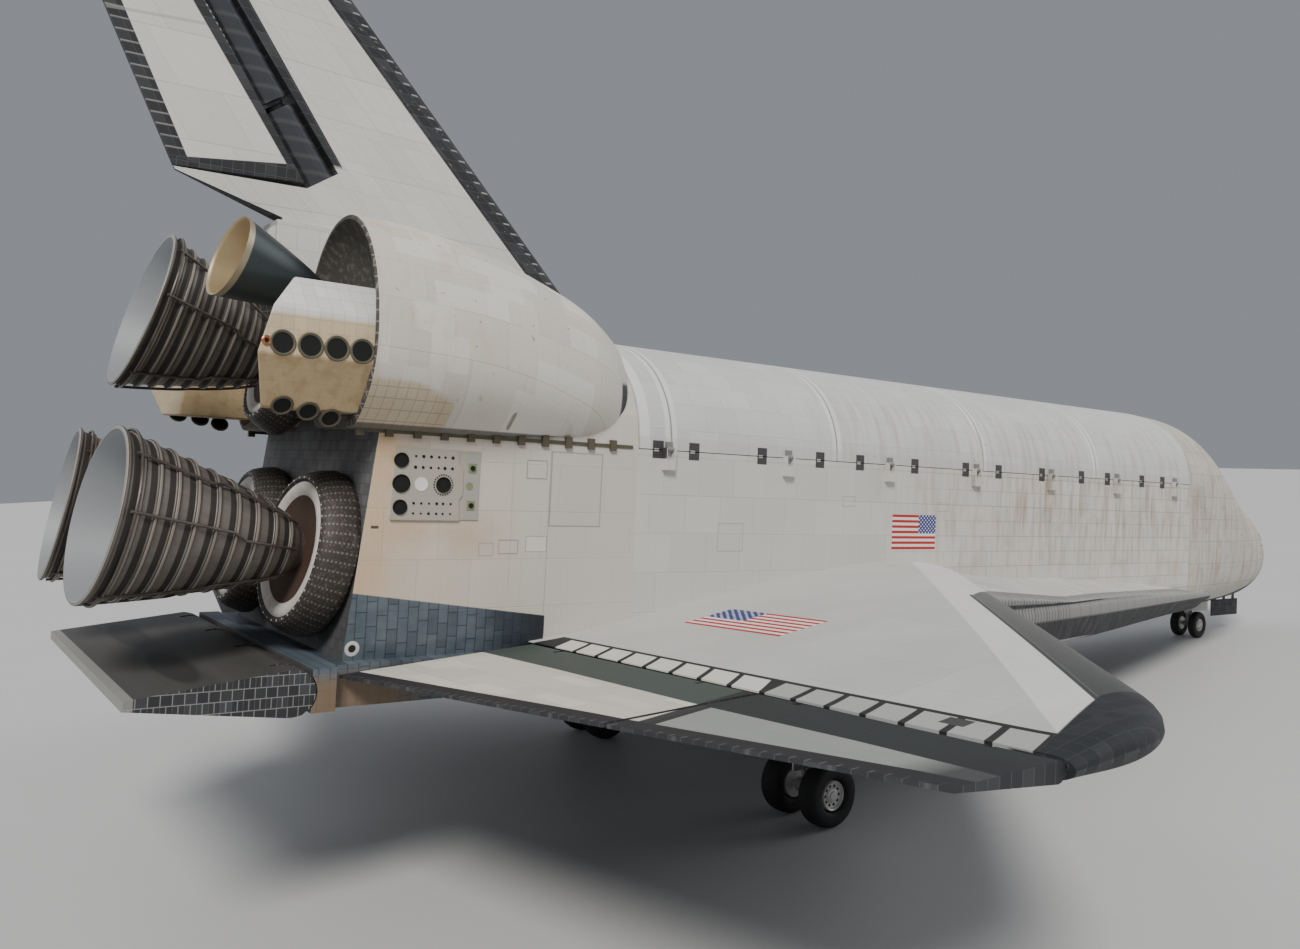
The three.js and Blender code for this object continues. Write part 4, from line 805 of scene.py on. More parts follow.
# Columns: gimbal station, distance to starboard and height, pitch and outward yaw in degrees,
# how much farther aft the dome stands, and the dome's radius.
ENGINES = {
    "upper": (1445, 0, 443, 16, 0, 25, 44),
    "port_lower": (1468, -53, 342.6, 10, -3.5, 0, 49),
    "starboard_lower": (1468, 53, 342.6, 10, 3.5, 0, 49),
}
THROAT, EXIT_FROM_GIMBAL = 50.0, 156.0
THROAT_RADIUS, EXIT_RADIUS, BELL_POWER, BELL_WALL = 13.0, 46.5, 0.72, 1.2
BANDS = np.array([8, 19, 31, 43, 55, 67, 78, 88, 97])
RIM_BEAD = 104.6
# How far aft of the gimbal a dome ends, and the shares of its radius at its rim and at its lip.
DOME_END, DOME_RIM, DOME_LIP = 52, 0.83, 0.64


def tilted(pitch, yaw):
    """The direction of an axis that points aft, raised by its pitch and turned outboard."""
    pitch, yaw = math.radians(pitch), math.radians(yaw)
    return np.array([math.cos(pitch) * math.cos(yaw), math.cos(pitch) * math.sin(yaw), math.sin(pitch)])


def bell_radius(beyond, length):
    """Outer radius of a bell some inches beyond its throat: it grows with a power of the share of
    the length."""
    share = np.clip(beyond / length, 0, 1)
    return THROAT_RADIUS + (EXIT_RADIUS - THROAT_RADIUS) * share ** BELL_POWER


def bumps(places, middles, reach, soft):
    """1 near each of some places, and 0 from reach times soft away, with a slope between."""
    return sum(np.clip(reach - abs(places - middle) / soft, 0, 1) for middle in middles)


def bell_profile(shift):
    """Outer curve with a ridge at each hatband and a bead at the rim, then the inner curve."""
    throat = THROAT + shift
    length = EXIT_FROM_GIMBAL - throat
    beyond = np.linspace(0, length, 260)
    scale = length / (EXIT_FROM_GIMBAL - THROAT)
    ridge = bumps(beyond, BANDS * scale, 1.8, 0.9)
    bead = bumps(beyond, [RIM_BEAD * scale], 1.5, 1)
    radius = bell_radius(beyond, length) - 0.35 + 1.5 * ridge + 1.3 * bead
    outer = np.stack([radius, throat + beyond], -1)
    inner_at = beyond[::-8]
    inner = np.stack([bell_radius(inner_at, length) - BELL_WALL, throat + inner_at], -1)
    root = [(0.02, 12), (16, 12), (16, 22), (12, 30), (10, 40 + shift)]
    return np.concatenate([root, outer, inner, [(0.02, throat + 8)]])


def pipe_shape(path, radius, sides=8):
    """A closed pipe: rings across a path of places, in a frame that follows the path's tangent."""
    tangent = np.gradient(path, axis=0)
    tangent /= np.linalg.norm(tangent, axis=1, keepdims=True)
    side = np.cross(tangent, (0.31, 0.17, 0.94))
    side /= np.linalg.norm(side, axis=1, keepdims=True)
    up = np.cross(side, tangent)
    return tube_shape(path[:, None] + radius * outward(circle(sides), side[:, None], up[:, None]))


def bell_pipes(centre, axis, shift, count=7):
    """Drain pipes that run lengthwise over the hatbands, each stepping aside once on its way, and
    a loop around the bell in front of the rim."""
    throat = THROAT + shift
    length = EXIT_FROM_GIMBAL - throat
    _, side, up = axis_frame(axis)

    def at(turn, beyond, raised):
        reach = bell_radius(beyond, length) + raised
        return centre + axis * (throat + beyond)[:, None] + outward(turn, side, up) * reach[:, None]

    shapes = []
    beyond = np.linspace(0.04, 0.955, 90) * length
    for k in range(count):
        step = np.clip((beyond / length - 0.35 - 0.07 * (k % 3)) * 14, 0, 1)
        turn = 2 * math.pi * (k + 0.5) / count + 0.1 * step * (-1) ** k
        shapes.append(pipe_shape(at(turn, beyond, 1.9), 0.8))
    turn = np.linspace(0, 2 * math.pi * 0.999, 120)
    shapes.append(pipe_shape(at(turn, np.full(120, 0.93 * length), 1.7), 0.8))
    return shapes


bell = Finish("tubes_of_the_main_bells", (0.17, 0.15, 0.132), 0.5, 0.35)
cosine, sine, along = bell.attribute("turned")
streak = bell.cloud(cosine * 9, sine * 9, along / 60, 6.0, 0.7)
bell.shade(0.6 + streak * 0.9)
bell.layer(bell.cloud(cosine * 2.2, sine * 2.2, along / 22, 4.0).over(0.55, 0.2) * 0.5, (0.23, 0.215, 0.20))
band, inside, _ = bell.attribute("band")
# Painted shadow: a near-black band just behind each hatband, where the ridge shades the tubes.
bell.layer(band.between(0.3, 0.75, 0.1) * 0.8, (0.012, 0.010, 0.009), 0.7)
bell.layer(band.over(0.75, 0.1) * 0.75, (0.33, 0.30, 0.25), 0.5)
bell.layer(inside.over(0.5, 0.1), (0.33, 0.345, 0.36), 0.6)
bell_tubes = bell.done()

pipes = Finish("drain_pipes", (0.085, 0.07, 0.058), 0.42, 0.5)
pipe_metal = pipes.mottled(6, 4, 0.5, 0.3, 0.6, (0.16, 0.14, 0.12)).done()

dome = Finish("engine_dome_shields", (0.045, 0.038, 0.034), 0.6, 0.3)
cosine, sine, _ = dome.attribute("turned")
turn = dome.math("ARCTAN2", sine, cosine) / (2 * math.pi)
zone, reach, _ = dome.attribute("band")
speckle = dome.cloud(cosine * 26, sine * 26, reach / 1.4, 3.0)
dome.layer(speckle.over(0.60, 0.1) * 0.35, (0.24, 0.20, 0.16))
ray = (turn * 56).fraction().between(0.4, 0.6, 0.1)
dash = (reach / 2.9).fraction().between(0.3, 0.75, 0.2)
dome.layer(ray * dash * zone.between(2.5, 3.5, 0.1) * 0.45, (0.34, 0.32, 0.29))
dome.layer(zone.between(0.5, 1.5, 0.1), (0.66, 0.63, 0.58), 0.9)
puff = dome.cloud(cosine * 8, sine * 8, reach / 5, 4.0)
dome.layer(zone.between(0.5, 1.5, 0.1) * puff.over(0.5, 0.4) * 0.4, (0.42, 0.38, 0.33))
dome.layer(zone.under(0.5, 0.1), (0.075, 0.045, 0.032), 0.75)
dome.raise_by(puff * zone.under(1.5, 0.1))
dome_shield = dome.done(0.01)

BOLT_PROFILE = [(0.02, -0.9), (0.6, -0.9), (0.6, 0.9), (0.02, 1.1)]
bolt_metal = Finish("pale_bolts", (0.62, 0.60, 0.56), 0.45, 0.4).done()


for name, (station, lateral, height, pitch, yaw, shift, dome_radius) in ENGINES.items():
    centre, axis = (station, lateral, height), tilted(pitch, yaw)
    throat = THROAT + shift
    length = EXIT_FROM_GIMBAL - throat
    scale = length / (EXIT_FROM_GIMBAL - THROAT)

    def bell_level(radius, along):
        beyond = along - throat
        top = bumps(beyond, np.append(BANDS, RIM_BEAD + 1.5) * scale, 1.7, 0.8)
        # Painted shadow: behind marks the band aft of each hatband, which the material paints near black.
        behind = bumps(beyond, (BANDS + 3.4) * scale, 1.6, 1.7)
        inner = (radius < bell_radius(beyond, length) - 0.9) * (beyond > 1) * 1.0
        return np.where(inner > 0, 0, np.maximum(top, 0.52 * behind)), inner

    shell = turned_piece(f"{name}_bell", centre, axis, bell_profile(shift), 128, bell_tubes, sharp=60)
    mark_bands(shell, centre, axis, bell_level)
    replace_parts(shell, f"{name}_engine_nozzle")
    several(f"{name}_bell_pipes", bell_pipes(centre, axis, shift), pipe_metal)

    end = shift + DOME_END
    rim, lip = DOME_RIM * dome_radius, DOME_LIP * dome_radius
    flare = [(24, 8), (dome_radius - 18, end - 32), (dome_radius - 7, end - 25),
             (dome_radius - 0.8, end - 20), (dome_radius, end - 16), (dome_radius - 2, end - 8),
             (dome_radius - 4.2, end - 3), (rim + 2, end - 0.6), (rim, end), (rim - 1, end - 1)]
    annulus = [(rim - 1.6, end - 1.6), (rim - 3, end - 0.4), (lip + 2.5, end - 0.8), (lip + 0.6, end - 2.2)]
    disc = [(lip - 0.6, end - 3), (20, end - 4.5), (0.02, end - 4.5), (0.02, 8)]

    def dome_level(radius, along):
        zone = np.where(radius > rim - 1.3, 3.0, np.where(radius > lip, 1.0, 0.0))
        return zone, radius + np.maximum(0, end - along)

    body = turned_piece(f"{name}_dome", centre, axis, flare + annulus + disc, 96, dome_shield, sharp=50)
    mark_bands(body, centre, axis, dome_level)
    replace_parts(body, f"{name}_engine_dome")
    _, side, up = axis_frame(axis)
    spots = centre + axis * (end - 0.9) + outward(circle(36), side, up) * (rim + 0.8)
    bolts = [turned_shape(spot, axis, BOLT_PROFILE, 8) for spot in spots]
    several(f"{name}_dome_bolts", bolts, bolt_metal)


# Tail pods
# A pod of felt-covered panels stands on each shoulder of the aft fuselage. Its aft face is a
# hollow shield around the manoeuvring engine, and a blunt housing beside it carries thrusters.

# Columns: station, middle distance to starboard, middle height, half width, height above it.
POD_SECTIONS = np.array([
    (1309, 70, 452, 24, 36), (1340, 72, 456, 39, 53), (1380, 73, 461, 49, 64),
    (1430, 74, 465, 57, 73), (1475, 75, 468, 59, 76), (1508, 76, 470, 59, 74)], float)
POD_SEAM, POD_LIP = 421.5, 1503.5
POD_PIVOT, POD_PITCH, POD_YAW = (1518, 88, 492), 15.8, 6.5
POD_THROAT, POD_EXIT, POD_EXIT_RADIUS, POD_POWER = 5.0, 56.0, 22.5, 0.7
# Columns: distance to starboard, height and aft station of the housing's corners.
HOUSING = np.array([(100, 499, 1538), (114, 498, 1543), (131, 480, 1558),
                    (132, 455, 1565), (113, 429, 1556), (92, 429, 1550)], float)
HOUSING_FORE = 1484


def pod_rings(side):
    """Half ellipses over the seam, from a rounded front to a lip, then in over the hollow aft face."""
    places = np.concatenate([1309 + 8 * np.linspace(0, 1, 8) ** 2, np.linspace(1320, POD_LIP, 44)])
    rows = smooth_rows(POD_SECTIONS, places)
    ahead = np.clip((places - 1309) / 11, 0, 1)
    front = 0.72 + 0.28 * np.sqrt(1 - (1 - ahead) ** 2)
    angle = np.linspace(-0.5 * math.pi, 1.5 * math.pi, 72, endpoint=False)
    up = np.sin(angle)
    lateral = rows[:, 1:2] + rows[:, 3:4] * front[:, None] * np.cos(angle)
    reach = np.where(up >= 0, rows[:, 4:5] * front[:, None], rows[:, 2:3] - POD_SEAM + 7)
    height = np.maximum(rows[:, 2:3] + reach * up, POD_SEAM)
    body = np.stack([np.broadcast_to(places[:, None], lateral.shape), lateral, height], -1)
    rim = body[-1]
    middle = np.array([POD_LIP, POD_PIVOT[1], POD_PIVOT[2]], float)
    share = np.array([0.985, 0.95, 0.93, 0.88, 0.78, 0.64, 0.48, 0.32, 0.18, 0.06])
    depth = np.array([-0.9, -1.0, 0.4, 3.0, 7.0, 10.5, 13.0, 14.5, 15.3, 15.6])
    face = middle + (rim - middle) * share[:, None, None]
    face[..., 0] = POD_LIP - depth[:, None]
    rings = np.concatenate([body, face])
    rings[..., 1] *= side
    return rings


def pod_nozzle_profile():
    """A thin bell whose radius grows with a power of the share of its length, and its inside."""
    share = np.linspace(0, 1, 40)
    radius = POD_THROAT + (POD_EXIT_RADIUS - POD_THROAT) * share ** POD_POWER
    along = -2 + (POD_EXIT + 2) * share
    outer = np.stack([radius, along], -1)
    inner = np.stack([radius - 0.8, along], -1)[::-1]
    inner = inner[inner[:, 0] > 4]
    return np.concatenate([[(0.02, -14), (6, -14), (6, -6), (4.6, -4)], outer,
                           [(POD_EXIT_RADIUS + 0.1, POD_EXIT + 0.5)], inner, [(0.02, 4)]])


felt_pod = Finish("felt_of_the_tail_pods", (0.64, 0.61, 0.55), 0.85)
station, lateral, height = felt_pod.stations()
across = abs(lateral) - height
felt(felt_pod, station, across, (38, 30), 5.5)
_, patch_tone = felt_pod.tiles(station + 9, across, 24, 19, 0.4, 0.43)
felt_pod.layer(patch_tone.over(0.72, 0.1) * 0.3, (0.86, 0.84, 0.80))
felt_pod.layer(patch_tone.under(0.2, 0.1) * 0.22, BEIGE_FELT)
spots = felt_pod.cloud(station / 5.5, across / 5.5, 9.0, 2.0)
few = felt_pod.cloud(station / 45, across / 45, 2.0).over(0.50, 0.1)
felt_pod.layer(spots.over(0.69, 0.03) * few * 0.75, (0.17, 0.13, 0.09))
grain = felt_pod.cloud(station / 14, across / 30, 4.0, 5.0).over(0.58, 0.16)
felt_pod.layer(grain * station.over(1440, 60) * 0.35, (0.52, 0.38, 0.2))
low_wedge = height.under(448, 3) * station.over(1452, 2) * (height - station * 0.42).under(-172, 4)
wedge_joints, _ = felt_pod.tiles(station, height, 6, 6, 0.4, 0.0)
felt_pod.layer(low_wedge * 0.55, (0.50, 0.36, 0.18))
felt_pod.layer(low_wedge * wedge_joints * 0.6, SEAM_DARK)
black_tiles(felt_pod, station.under(1322, 2) * (height.under(462, 3)), lateral, height, 5.0)
felt_pod.layer(height.under(424.5, 0.6) * 0.75, 0.05)
aft_face = felt_pod.facing("Y").under(-0.2, 0.1) * station.over(1485, 1)
mottle = felt_pod.cloud(lateral / 4, height / 4, 6.0, 5.0, 0.7)
felt_pod.layer(aft_face, (0.055, 0.052, 0.045), 0.7)
felt_pod.layer(aft_face * mottle.over(0.56, 0.12) * 0.45, (0.20, 0.18, 0.15))
face_joints, _ = felt_pod.tiles(lateral, height, 6.2, 6.2, 0.55, 0.0)
felt_pod.layer(aft_face * face_joints * abs(lateral).over(98, 6) * 0.6, (0.45, 0.43, 0.40))
pod_felt = felt_pod.done()

housing = Finish("thruster_housing", (0.62, 0.50, 0.33), 0.75)
station, _, height = housing.stations()
housing.layer(height.over(476, 2), (0.74, 0.73, 0.70))
housing.layer(station.under(1492, 2) * 0.7, (0.74, 0.73, 0.70))
housing_joints, housing_tone = housing.tiles(station, height, 6.5, 6.5, 0.35, 0.0)
housing.shade(0.9 + housing_tone * 0.12)
housing.layer(housing_joints * 0.3, SEAM_DARK)
housing.layer(height.under(455, 1.5) * station.over(1496, 3) * 0.6, (0.50, 0.36, 0.18))
soot = housing.cloud(station / 6, height / 6, 8.0, 5.0).over(0.55, 0.15)
housing.layer(soot * height.under(470, 8) * 0.4, (0.36, 0.22, 0.10))
housing.layer(housing.facing("Y").under(-0.7, 0.1) * 0.6, (0.30, 0.27, 0.22))
housing_tiles = housing.done()

copper_rim = Finish("copper_ring", (0.42, 0.16, 0.07), 0.35, 0.8).done()

pod_bell = Finish("pod_nozzle_metal", (0.055, 0.068, 0.07), 0.4, 0.6)
along, inside, _ = pod_bell.attribute("band")
pod_bell.layer(along.over(POD_EXIT - 3, 0.5), (0.40, 0.34, 0.24))
pod_bell.layer(inside, (0.46, 0.36, 0.22), 0.5)
pod_bell_metal = pod_bell.done()

SIDE_NORMAL = np.array([0, 0.9992, 0.0400])
DOWN_NORMAL = np.array([0, 0.8074, -0.5900])
SIDE_HOLES = [(1552.4, 6.7), (1538.2, 6.8), (1524.4, 6.8), (1510.8, 6.8)]
DOWN_HOLES = [(1545.3, 113.9, 430.2), (1531.1, 112.4, 428.2), (1518.3, 110.4, 425.4)]


def thruster_rim(radius):
    """The profile of a raised ring around a thruster's mouth."""
    return [(radius, -0.4), (radius, 0.5), (radius - 0.5, 0.8), (radius - 1.4, 0.5), (radius - 1.4, -0.4)]


def thruster_mouth(radius):
    """The profile of a dish inside the ring, painted near black as the shade in the mouth."""
    return [(radius - 1.2, -0.3), (radius - 1.2, 0.25), (radius * 0.5, 0.1), (0.02, 0.05), (0.02, -0.3)]


def thrusters(name, profile, spots, side, material):
    """One piece from a profile that is turned at each spot, drawn to starboard and mirrored for port."""
    shapes = [turned_shape(centre, normal, profile(radius), 32) for centre, normal, radius in spots]
    several(name, [(points * (1, side, 1), faces) for points, faces in shapes], material)


for name, side in SIDES.items():
    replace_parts(tube_piece(f"{name}_pod_shell", pod_rings(side), pod_felt, sharp=32), f"{name}_tail_pod")
    ends = [np.stack([np.full(6, HOUSING_FORE), HOUSING[:, 0] * side, HOUSING[:, 1]], -1),
            np.stack([HOUSING[:, 2], HOUSING[:, 0] * side, HOUSING[:, 1]], -1)]
    shell = tube_piece(f"{name}_thruster_housing", np.stack(ends), housing_tiles, sharp=10)
    bevel = shell.modifiers.new("soft_edges", "BEVEL")
    bevel.width, bevel.segments = 0.03, 3
    spots = [((s, 131.8, 460.7), SIDE_NORMAL, r) for s, r in SIDE_HOLES]
    spots += [(spot, DOWN_NORMAL, 5.9) for spot in DOWN_HOLES]
    thrusters(f"{name}_thruster_rims", thruster_rim, spots, side, hole_rim)
    spots.append(((1560.4, 131.75, 461), SIDE_NORMAL, 2.6))
    # The thruster mouths are painted near black as painted shade.
    thrusters(f"{name}_thruster_mouths", thruster_mouth, spots, side, painted_shade_black)
    thrusters(f"{name}_vernier_ring", thruster_rim, spots[-1:], side, copper_rim)
    centre = np.array(POD_PIVOT) * (1, side, 1)
    axis = tilted(POD_PITCH, POD_YAW * side)
    profile = pod_nozzle_profile()
    nozzle = turned_piece(f"{name}_pod_bell", centre, axis, profile, 96, pod_bell_metal, sharp=60)

    def pod_level(radius, along):
        share = np.clip((along + 2) / (POD_EXIT + 2), 0, 1)
        wall = POD_THROAT + (POD_EXIT_RADIUS - POD_THROAT) * share ** POD_POWER
        return along, np.where(radius < wall - 0.4, 1.0, 0.0)

    mark_bands(nozzle, centre, axis, pod_level)
    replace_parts(nozzle, f"{name}_pod_nozzle")
    clamps = [box_shape(s, s + 4.5, side * 101.5, side * 104, 417.5, 424.5) for s in range(1326, 1500, 17)]
    clamps.append(box_shape(1312, 1496, side * 101, side * 102.6, 419.6, 421.9))
    several(f"{name}_pod_clamps", clamps, hole_rim)


# Fin and rudder
# A wedge fin with a row of black leading-edge tiles. Behind it stands the split rudder, whose
# two panels open as a speed brake around a dark spar.

RUDDER_AXIS_FOOT, RUDDER_SLOPE = (1519, 612), 0.692
FIN_FOOT, FIN_TIP = 500.0, 815.7


def fin_frame(finish):
    """Station, distance to starboard, height, and distances aft of the leading edge, ahead of the
    trailing edge and aft of the rudder's axis."""
    station, lateral, height = finish.stations()
    from_edge = ((station - 1277.9) - (height - FIN_FOOT)) * 0.7071
    from_tail = (height - FIN_FOOT) * 0.4932 + 1546.4 - station
    from_axis = (station - RUDDER_AXIS_FOOT[0]) - (height - RUDDER_AXIS_FOOT[1]) * RUDDER_SLOPE
    return station, lateral, height, from_edge, from_tail, from_axis


fin = Finish("felt_of_the_fin", (0.69, 0.67, 0.62), 0.85)
station, lateral, height, from_edge, _, from_axis = fin_frame(fin)
felt(fin, from_edge, height, (27, 31), 6.2)
fin_joints, fin_tone = fin.tiles(from_edge, height, 12.4, 18.6, 0.4, 0.5)
fin.layer(fin_joints * 0.16, SEAM_DARK)
fin.layer(fin_tone.over(0.85, 0.05) * 0.25, (0.80, 0.79, 0.76))
black_tiles(fin, from_edge.under(15.5, 0.4), height, from_edge, 6.2)
ticks = (height / 6.2).fraction().under(0.16, 0.05) * from_edge.between(2.0, 5.4, 0.3)
fin.layer(ticks * 0.6, (0.6, 0.6, 0.58))
worn = fin.cloud(height / 3, from_edge / 3, 4.0).over(0.66, 0.06) * from_edge.under(15.5, 0.4)
fin.layer(worn * 0.35, (0.4, 0.4, 0.38))
black_tiles(fin, height.over(FIN_TIP - 7, 0.5) * from_edge.over(5, 1), station, height, 6.2)
black_tiles(fin, from_axis.over(-20, 0.5) * height.over(590, 2), height, from_axis, 6.2)
tail_base = height.under(572, 1) * station.over(1519, 1) * fin.facing("Z").under(-0.4, 0.2)
black_tiles(fin, tail_base, station, lateral, 6.2)
fin.layer(fin.facing("Y").under(-0.8, 0.1) * 0.85, (0.03, 0.03, 0.033), 0.6)
dress(["fin"], fin.done())

chute = Finish("chute_housing", (0.70, 0.69, 0.66), 0.7)
station, lateral, height = chute.stations()
felt(chute, station + lateral, height, (14, 14), 5)
frame_edge = abs(lateral).over(12, 0.5).most(height.over(546, 0.5))
chute.layer(chute.facing("Y").under(-0.8, 0.1) * frame_edge * 0.6, SEAM_DARK)
dress(["drag_chute_housing"], chute.done())

spar = Finish("rudder_spar_tiles", (0.035, 0.038, 0.045), 0.45)
_, _, height = spar.stations()
spar.shade(0.9 + spar.cloud(height / 40, 0, 0) * 0.3)
bumps = (height / 9.5).fraction().between(0.25, 0.5, 0.15)
spar.layer(bumps * 0.35, (0.12, 0.12, 0.115))
dress(["rudder_spar"], spar.done())

rudder = Finish("felt_of_the_rudder", (0.71, 0.69, 0.64), 0.85)
station, _, height, _, from_tail, from_axis = fin_frame(rudder)
felt(rudder, from_axis, height, (36, 31), 6.2)
black_tiles(rudder, from_axis.under(19, 0.5), height, from_axis, 6.2)
stitch = (height / 3.1).fraction().under(0.4, 0.2) * from_axis.between(11.2, 12.2, 0.4)
rudder.layer(stitch * 0.7, (0.5, 0.49, 0.45))
black_tiles(rudder, from_tail.under(10, 0.4), height, from_tail, 6.2)
edge_ticks = (height / 6.2).fraction().under(0.14, 0.05) * from_tail.under(10, 0.4)
rudder.layer(edge_ticks * 0.5, (0.5, 0.49, 0.46))
black_tiles(rudder, (height - 580 + (from_axis - 30) * 0.10).under(4, 0.5), station, height, 6.2)
black_tiles(rudder, height.over(FIN_TIP - 7, 0.5), station, height, 6.2)
split = height + from_axis * 0.05 - 660
rudder.layer(split.between(-0.9, 0.9, 0.4) * from_axis.over(19, 0.5) * 0.5, (0.36, 0.35, 0.33))
black_tiles(rudder, abs(rudder.facing("X")).under(0.6, 0.1), height, station, 6.2)
dress(["starboard_rudder_panel", "port_rudder_panel"], rudder.done())


# Wings
# A cropped double delta: a glove runs forward along the fuselage, carbon panels round the leading
# edge, flipper doors close the gap over the elevons, and the underside is all black tiles.

HINGE_STATION, EDGE_OFFSET, WING_ROOT, WING_TIP = 1387.0, 836.0, 88.0, 468.0
# Columns: distance to starboard, heights of the leading edge and the hinge, upper and lower
# bulge, upper and lower depth at the hinge, radius of the elevon's nose.
WING_SECTIONS = np.array([(88, 304, 284, 42, 23, 13, 13.5, 12.8), (468, 312, 308, 7, 5, 4, 4, 3.9)], float)
GLOVE_FORE, GLOVE_AFT, GLOVE_SLOPE = 504.0, 1044.0, 6.31
WELL = (1092, 1216, 108, 166, 200, 311)
# Where the leading edge starts to round off towards the tip and over how much span, and the span
# over which the section thins at the tip.
CORNER_START, CORNER_SPAN, TIP_SPAN = 428, 39, 10
FLIPPER_FORE, FLIPPER_AFT, ELEVON_STRIP = 1362.5, 1399.0, 1420.0


def wing_rings():
    """Sections across the span: the leading edge is a square root of the chord share, the back
    closes in a hollow around the elevon's nose, and the tip is rounded off."""
    last_spans = WING_TIP - TIP_SPAN * np.linspace(1, 0, 10)[1:] ** 2 - 0.2
    spans = np.concatenate([np.linspace(96, WING_TIP - TIP_SPAN, 40), last_spans])
    share = ((spans - WING_ROOT) / (WING_TIP - WING_ROOT))[:, None]
    rows = WING_SECTIONS[0] + (WING_SECTIONS[1] - WING_SECTIONS[0]) * share
    _, edge, hinge, bulge_up, bulge_down, depth_up, depth_down, nose = [rows[:, k:k + 1] for k in range(8)]
    corner = np.clip((spans[:, None] - CORNER_START) / CORNER_SPAN, 0, 1)
    fore = EDGE_OFFSET + spans[:, None] + 34 * (1 - np.sqrt(np.clip(1 - corner ** 2, 0.0, 1)))
    thinned = np.clip((spans[:, None] - WING_TIP) / TIP_SPAN + 1, 0, 1)
    flat = np.sqrt(np.clip(1 - thinned ** 2, 0.02, 1))
    last = (HINGE_STATION - 4 - fore) / (HINGE_STATION - fore)
    t = (1 - np.cos(np.linspace(0, math.pi / 2, 46)))[None, :] * last

    def surface_height(bulge, depth, sign):
        thickness = bulge * 2.99 * np.sqrt(t) * (1 - t) ** 1.4 + depth * t
        return edge + (hinge - edge) * t + sign * thickness * flat

    hollow = nose + 0.5
    opening = np.arccos(np.clip(-4 / hollow, -1, 0))
    turn = opening + (2 * math.pi - 2 * opening) * np.linspace(0, 1, 16)[None, :]
    along = fore + (HINGE_STATION - fore) * t
    upper = np.stack([along, surface_height(bulge_up, depth_up, 1)], -1)
    lower = np.stack([along, surface_height(bulge_down, depth_down, -1)], -1)
    arc = np.stack([HINGE_STATION + hollow * np.cos(turn), hinge + hollow * np.sin(turn) * flat], -1)
    ring = np.concatenate([upper, arc, lower[:, ::-1]], 1)
    lateral = np.broadcast_to(spans[:, None], ring.shape[:2])
    return np.stack([ring[..., 0], lateral, ring[..., 1]], -1)


def glove_rings():
    """Sections along the stations: a smooth curve through eight points from the shoulder, round the
    edge and back under the belly."""
    stations = np.linspace(GLOVE_FORE, GLOVE_AFT, 30)
    grown = np.clip((stations - GLOVE_FORE) / 330, 0, 1) ** 0.7
    edge = 102 + (stations - 500) / GLOVE_SLOPE - 15 * (1 - grown)
    belly = 282 - 10 * (np.clip(stations, 582, 1307) - 582) / 725
    top = 306 + 21 * grown + np.clip(stations - 900, 0, 200) * 0.08
    inner = np.minimum(WING_ROOT, edge - 22)
    knots = np.array([
        (inner, top + 2 * grown), (edge - 8, top - 9 * grown - 1), (edge - 1.5, 303 + 8 * grown),
        (edge, 300 + 4 * grown), (edge - 2, 296 + 0 * top), (edge - 8, belly + 5 + 5 * (1 - grown)),
        (edge - 16, belly + 0.5 + 2 * (1 - grown)), (inner, belly)]).swapaxes(1, 2)
    order = np.arange(8.0)[:, None]
    ring = np.array([smooth_rows(np.concatenate([order, own], 1), np.linspace(0, 7, 43))[:, 1:]
                     for own in knots.swapaxes(0, 1)])
    return np.concatenate([np.broadcast_to(stations[:, None, None], (*ring.shape[:2], 1)), ring], -1)


wing = Finish("felt_of_the_wings", (0.50, 0.505, 0.49), 0.8)
station, lateral, _ = wing.stations()
out = abs(lateral)
over_wing = wing.facing("Z").over(0.0, 0.1)
felt(wing, station, out, (44, 52), 5.6)
wing.layer(out.under(250, 200) * 0.5, (0.55, 0.54, 0.51))
pale_line = (out - 199.7) * 0.9637 + 1123.1 - station
wing.layer(pale_line.over(0, 1) * 0.75, (0.70, 0.695, 0.675))
smudge = wing.cloud(station / 60, out / 40, 8.0, 4.0)
wing.shade(0.9 + smudge * 0.18)
# The band over the flipper doors: dark gaps and tiles, darkened nearly to black as painted shade.
doors = station.between(FLIPPER_FORE - 0.5, FLIPPER_AFT, 0.4) * out.over(108, 1)
wing.layer(doors, (0.016, 0.016, 0.017), 0.75)
slant = (station - FLIPPER_FORE) * 0.62
inner_cell = (out - slant - 118) / 22.6
outer_cell = (out - slant * 0.45 - 306) / 20.2
inner_plates = inner_cell.fraction().between(0.08, 0.92, 0.02) * inner_cell.between(0, 8, 0.02)
outer_plates = outer_cell.fraction().between(0.09, 0.91, 0.02) * outer_cell.between(0, 7, 0.025)
plates = station.between(FLIPPER_FORE + 2.6, FLIPPER_AFT - 3.4, 0.4)
wing.layer(inner_plates * plates, (0.66, 0.64, 0.59), 0.75)
wing.layer(outer_plates * plates, (0.38, 0.38, 0.375), 0.7)
wing.layer(plates * station.between(1366, 1374, 0.5) * out.between(403, 415, 0.5), 0.05)
striped_flag(wing, (lateral - 149) / 86, (station - 1261) / 39.5, over_wing)
carbon_line = (out - 236.5) * 0.93 + 1130.7 - station
corner_line = (out - 189.2) * 1.745 + 1048.6 - station
beyond_glove = out.over(185, 2)
carbon = carbon_line.over(2, 1.5) * corner_line.over(0, 1.5)
wing.layer(carbon * beyond_glove, (0.125, 0.133, 0.125), 0.5)
behind_carbon = carbon_line.between(-1.5, 2, 0.6) * corner_line.over(-3, 1.5) * beyond_glove
wing.layer(behind_carbon, (0.04, 0.045, 0.045), 0.6)
ribs, _ = wing.tiles((station + out) * 0.7071, out * 0 + 0.5, 21, 400, 0.9, 0.0)
wing.layer(carbon * beyond_glove * ribs * 0.7, (0.05, 0.052, 0.05))
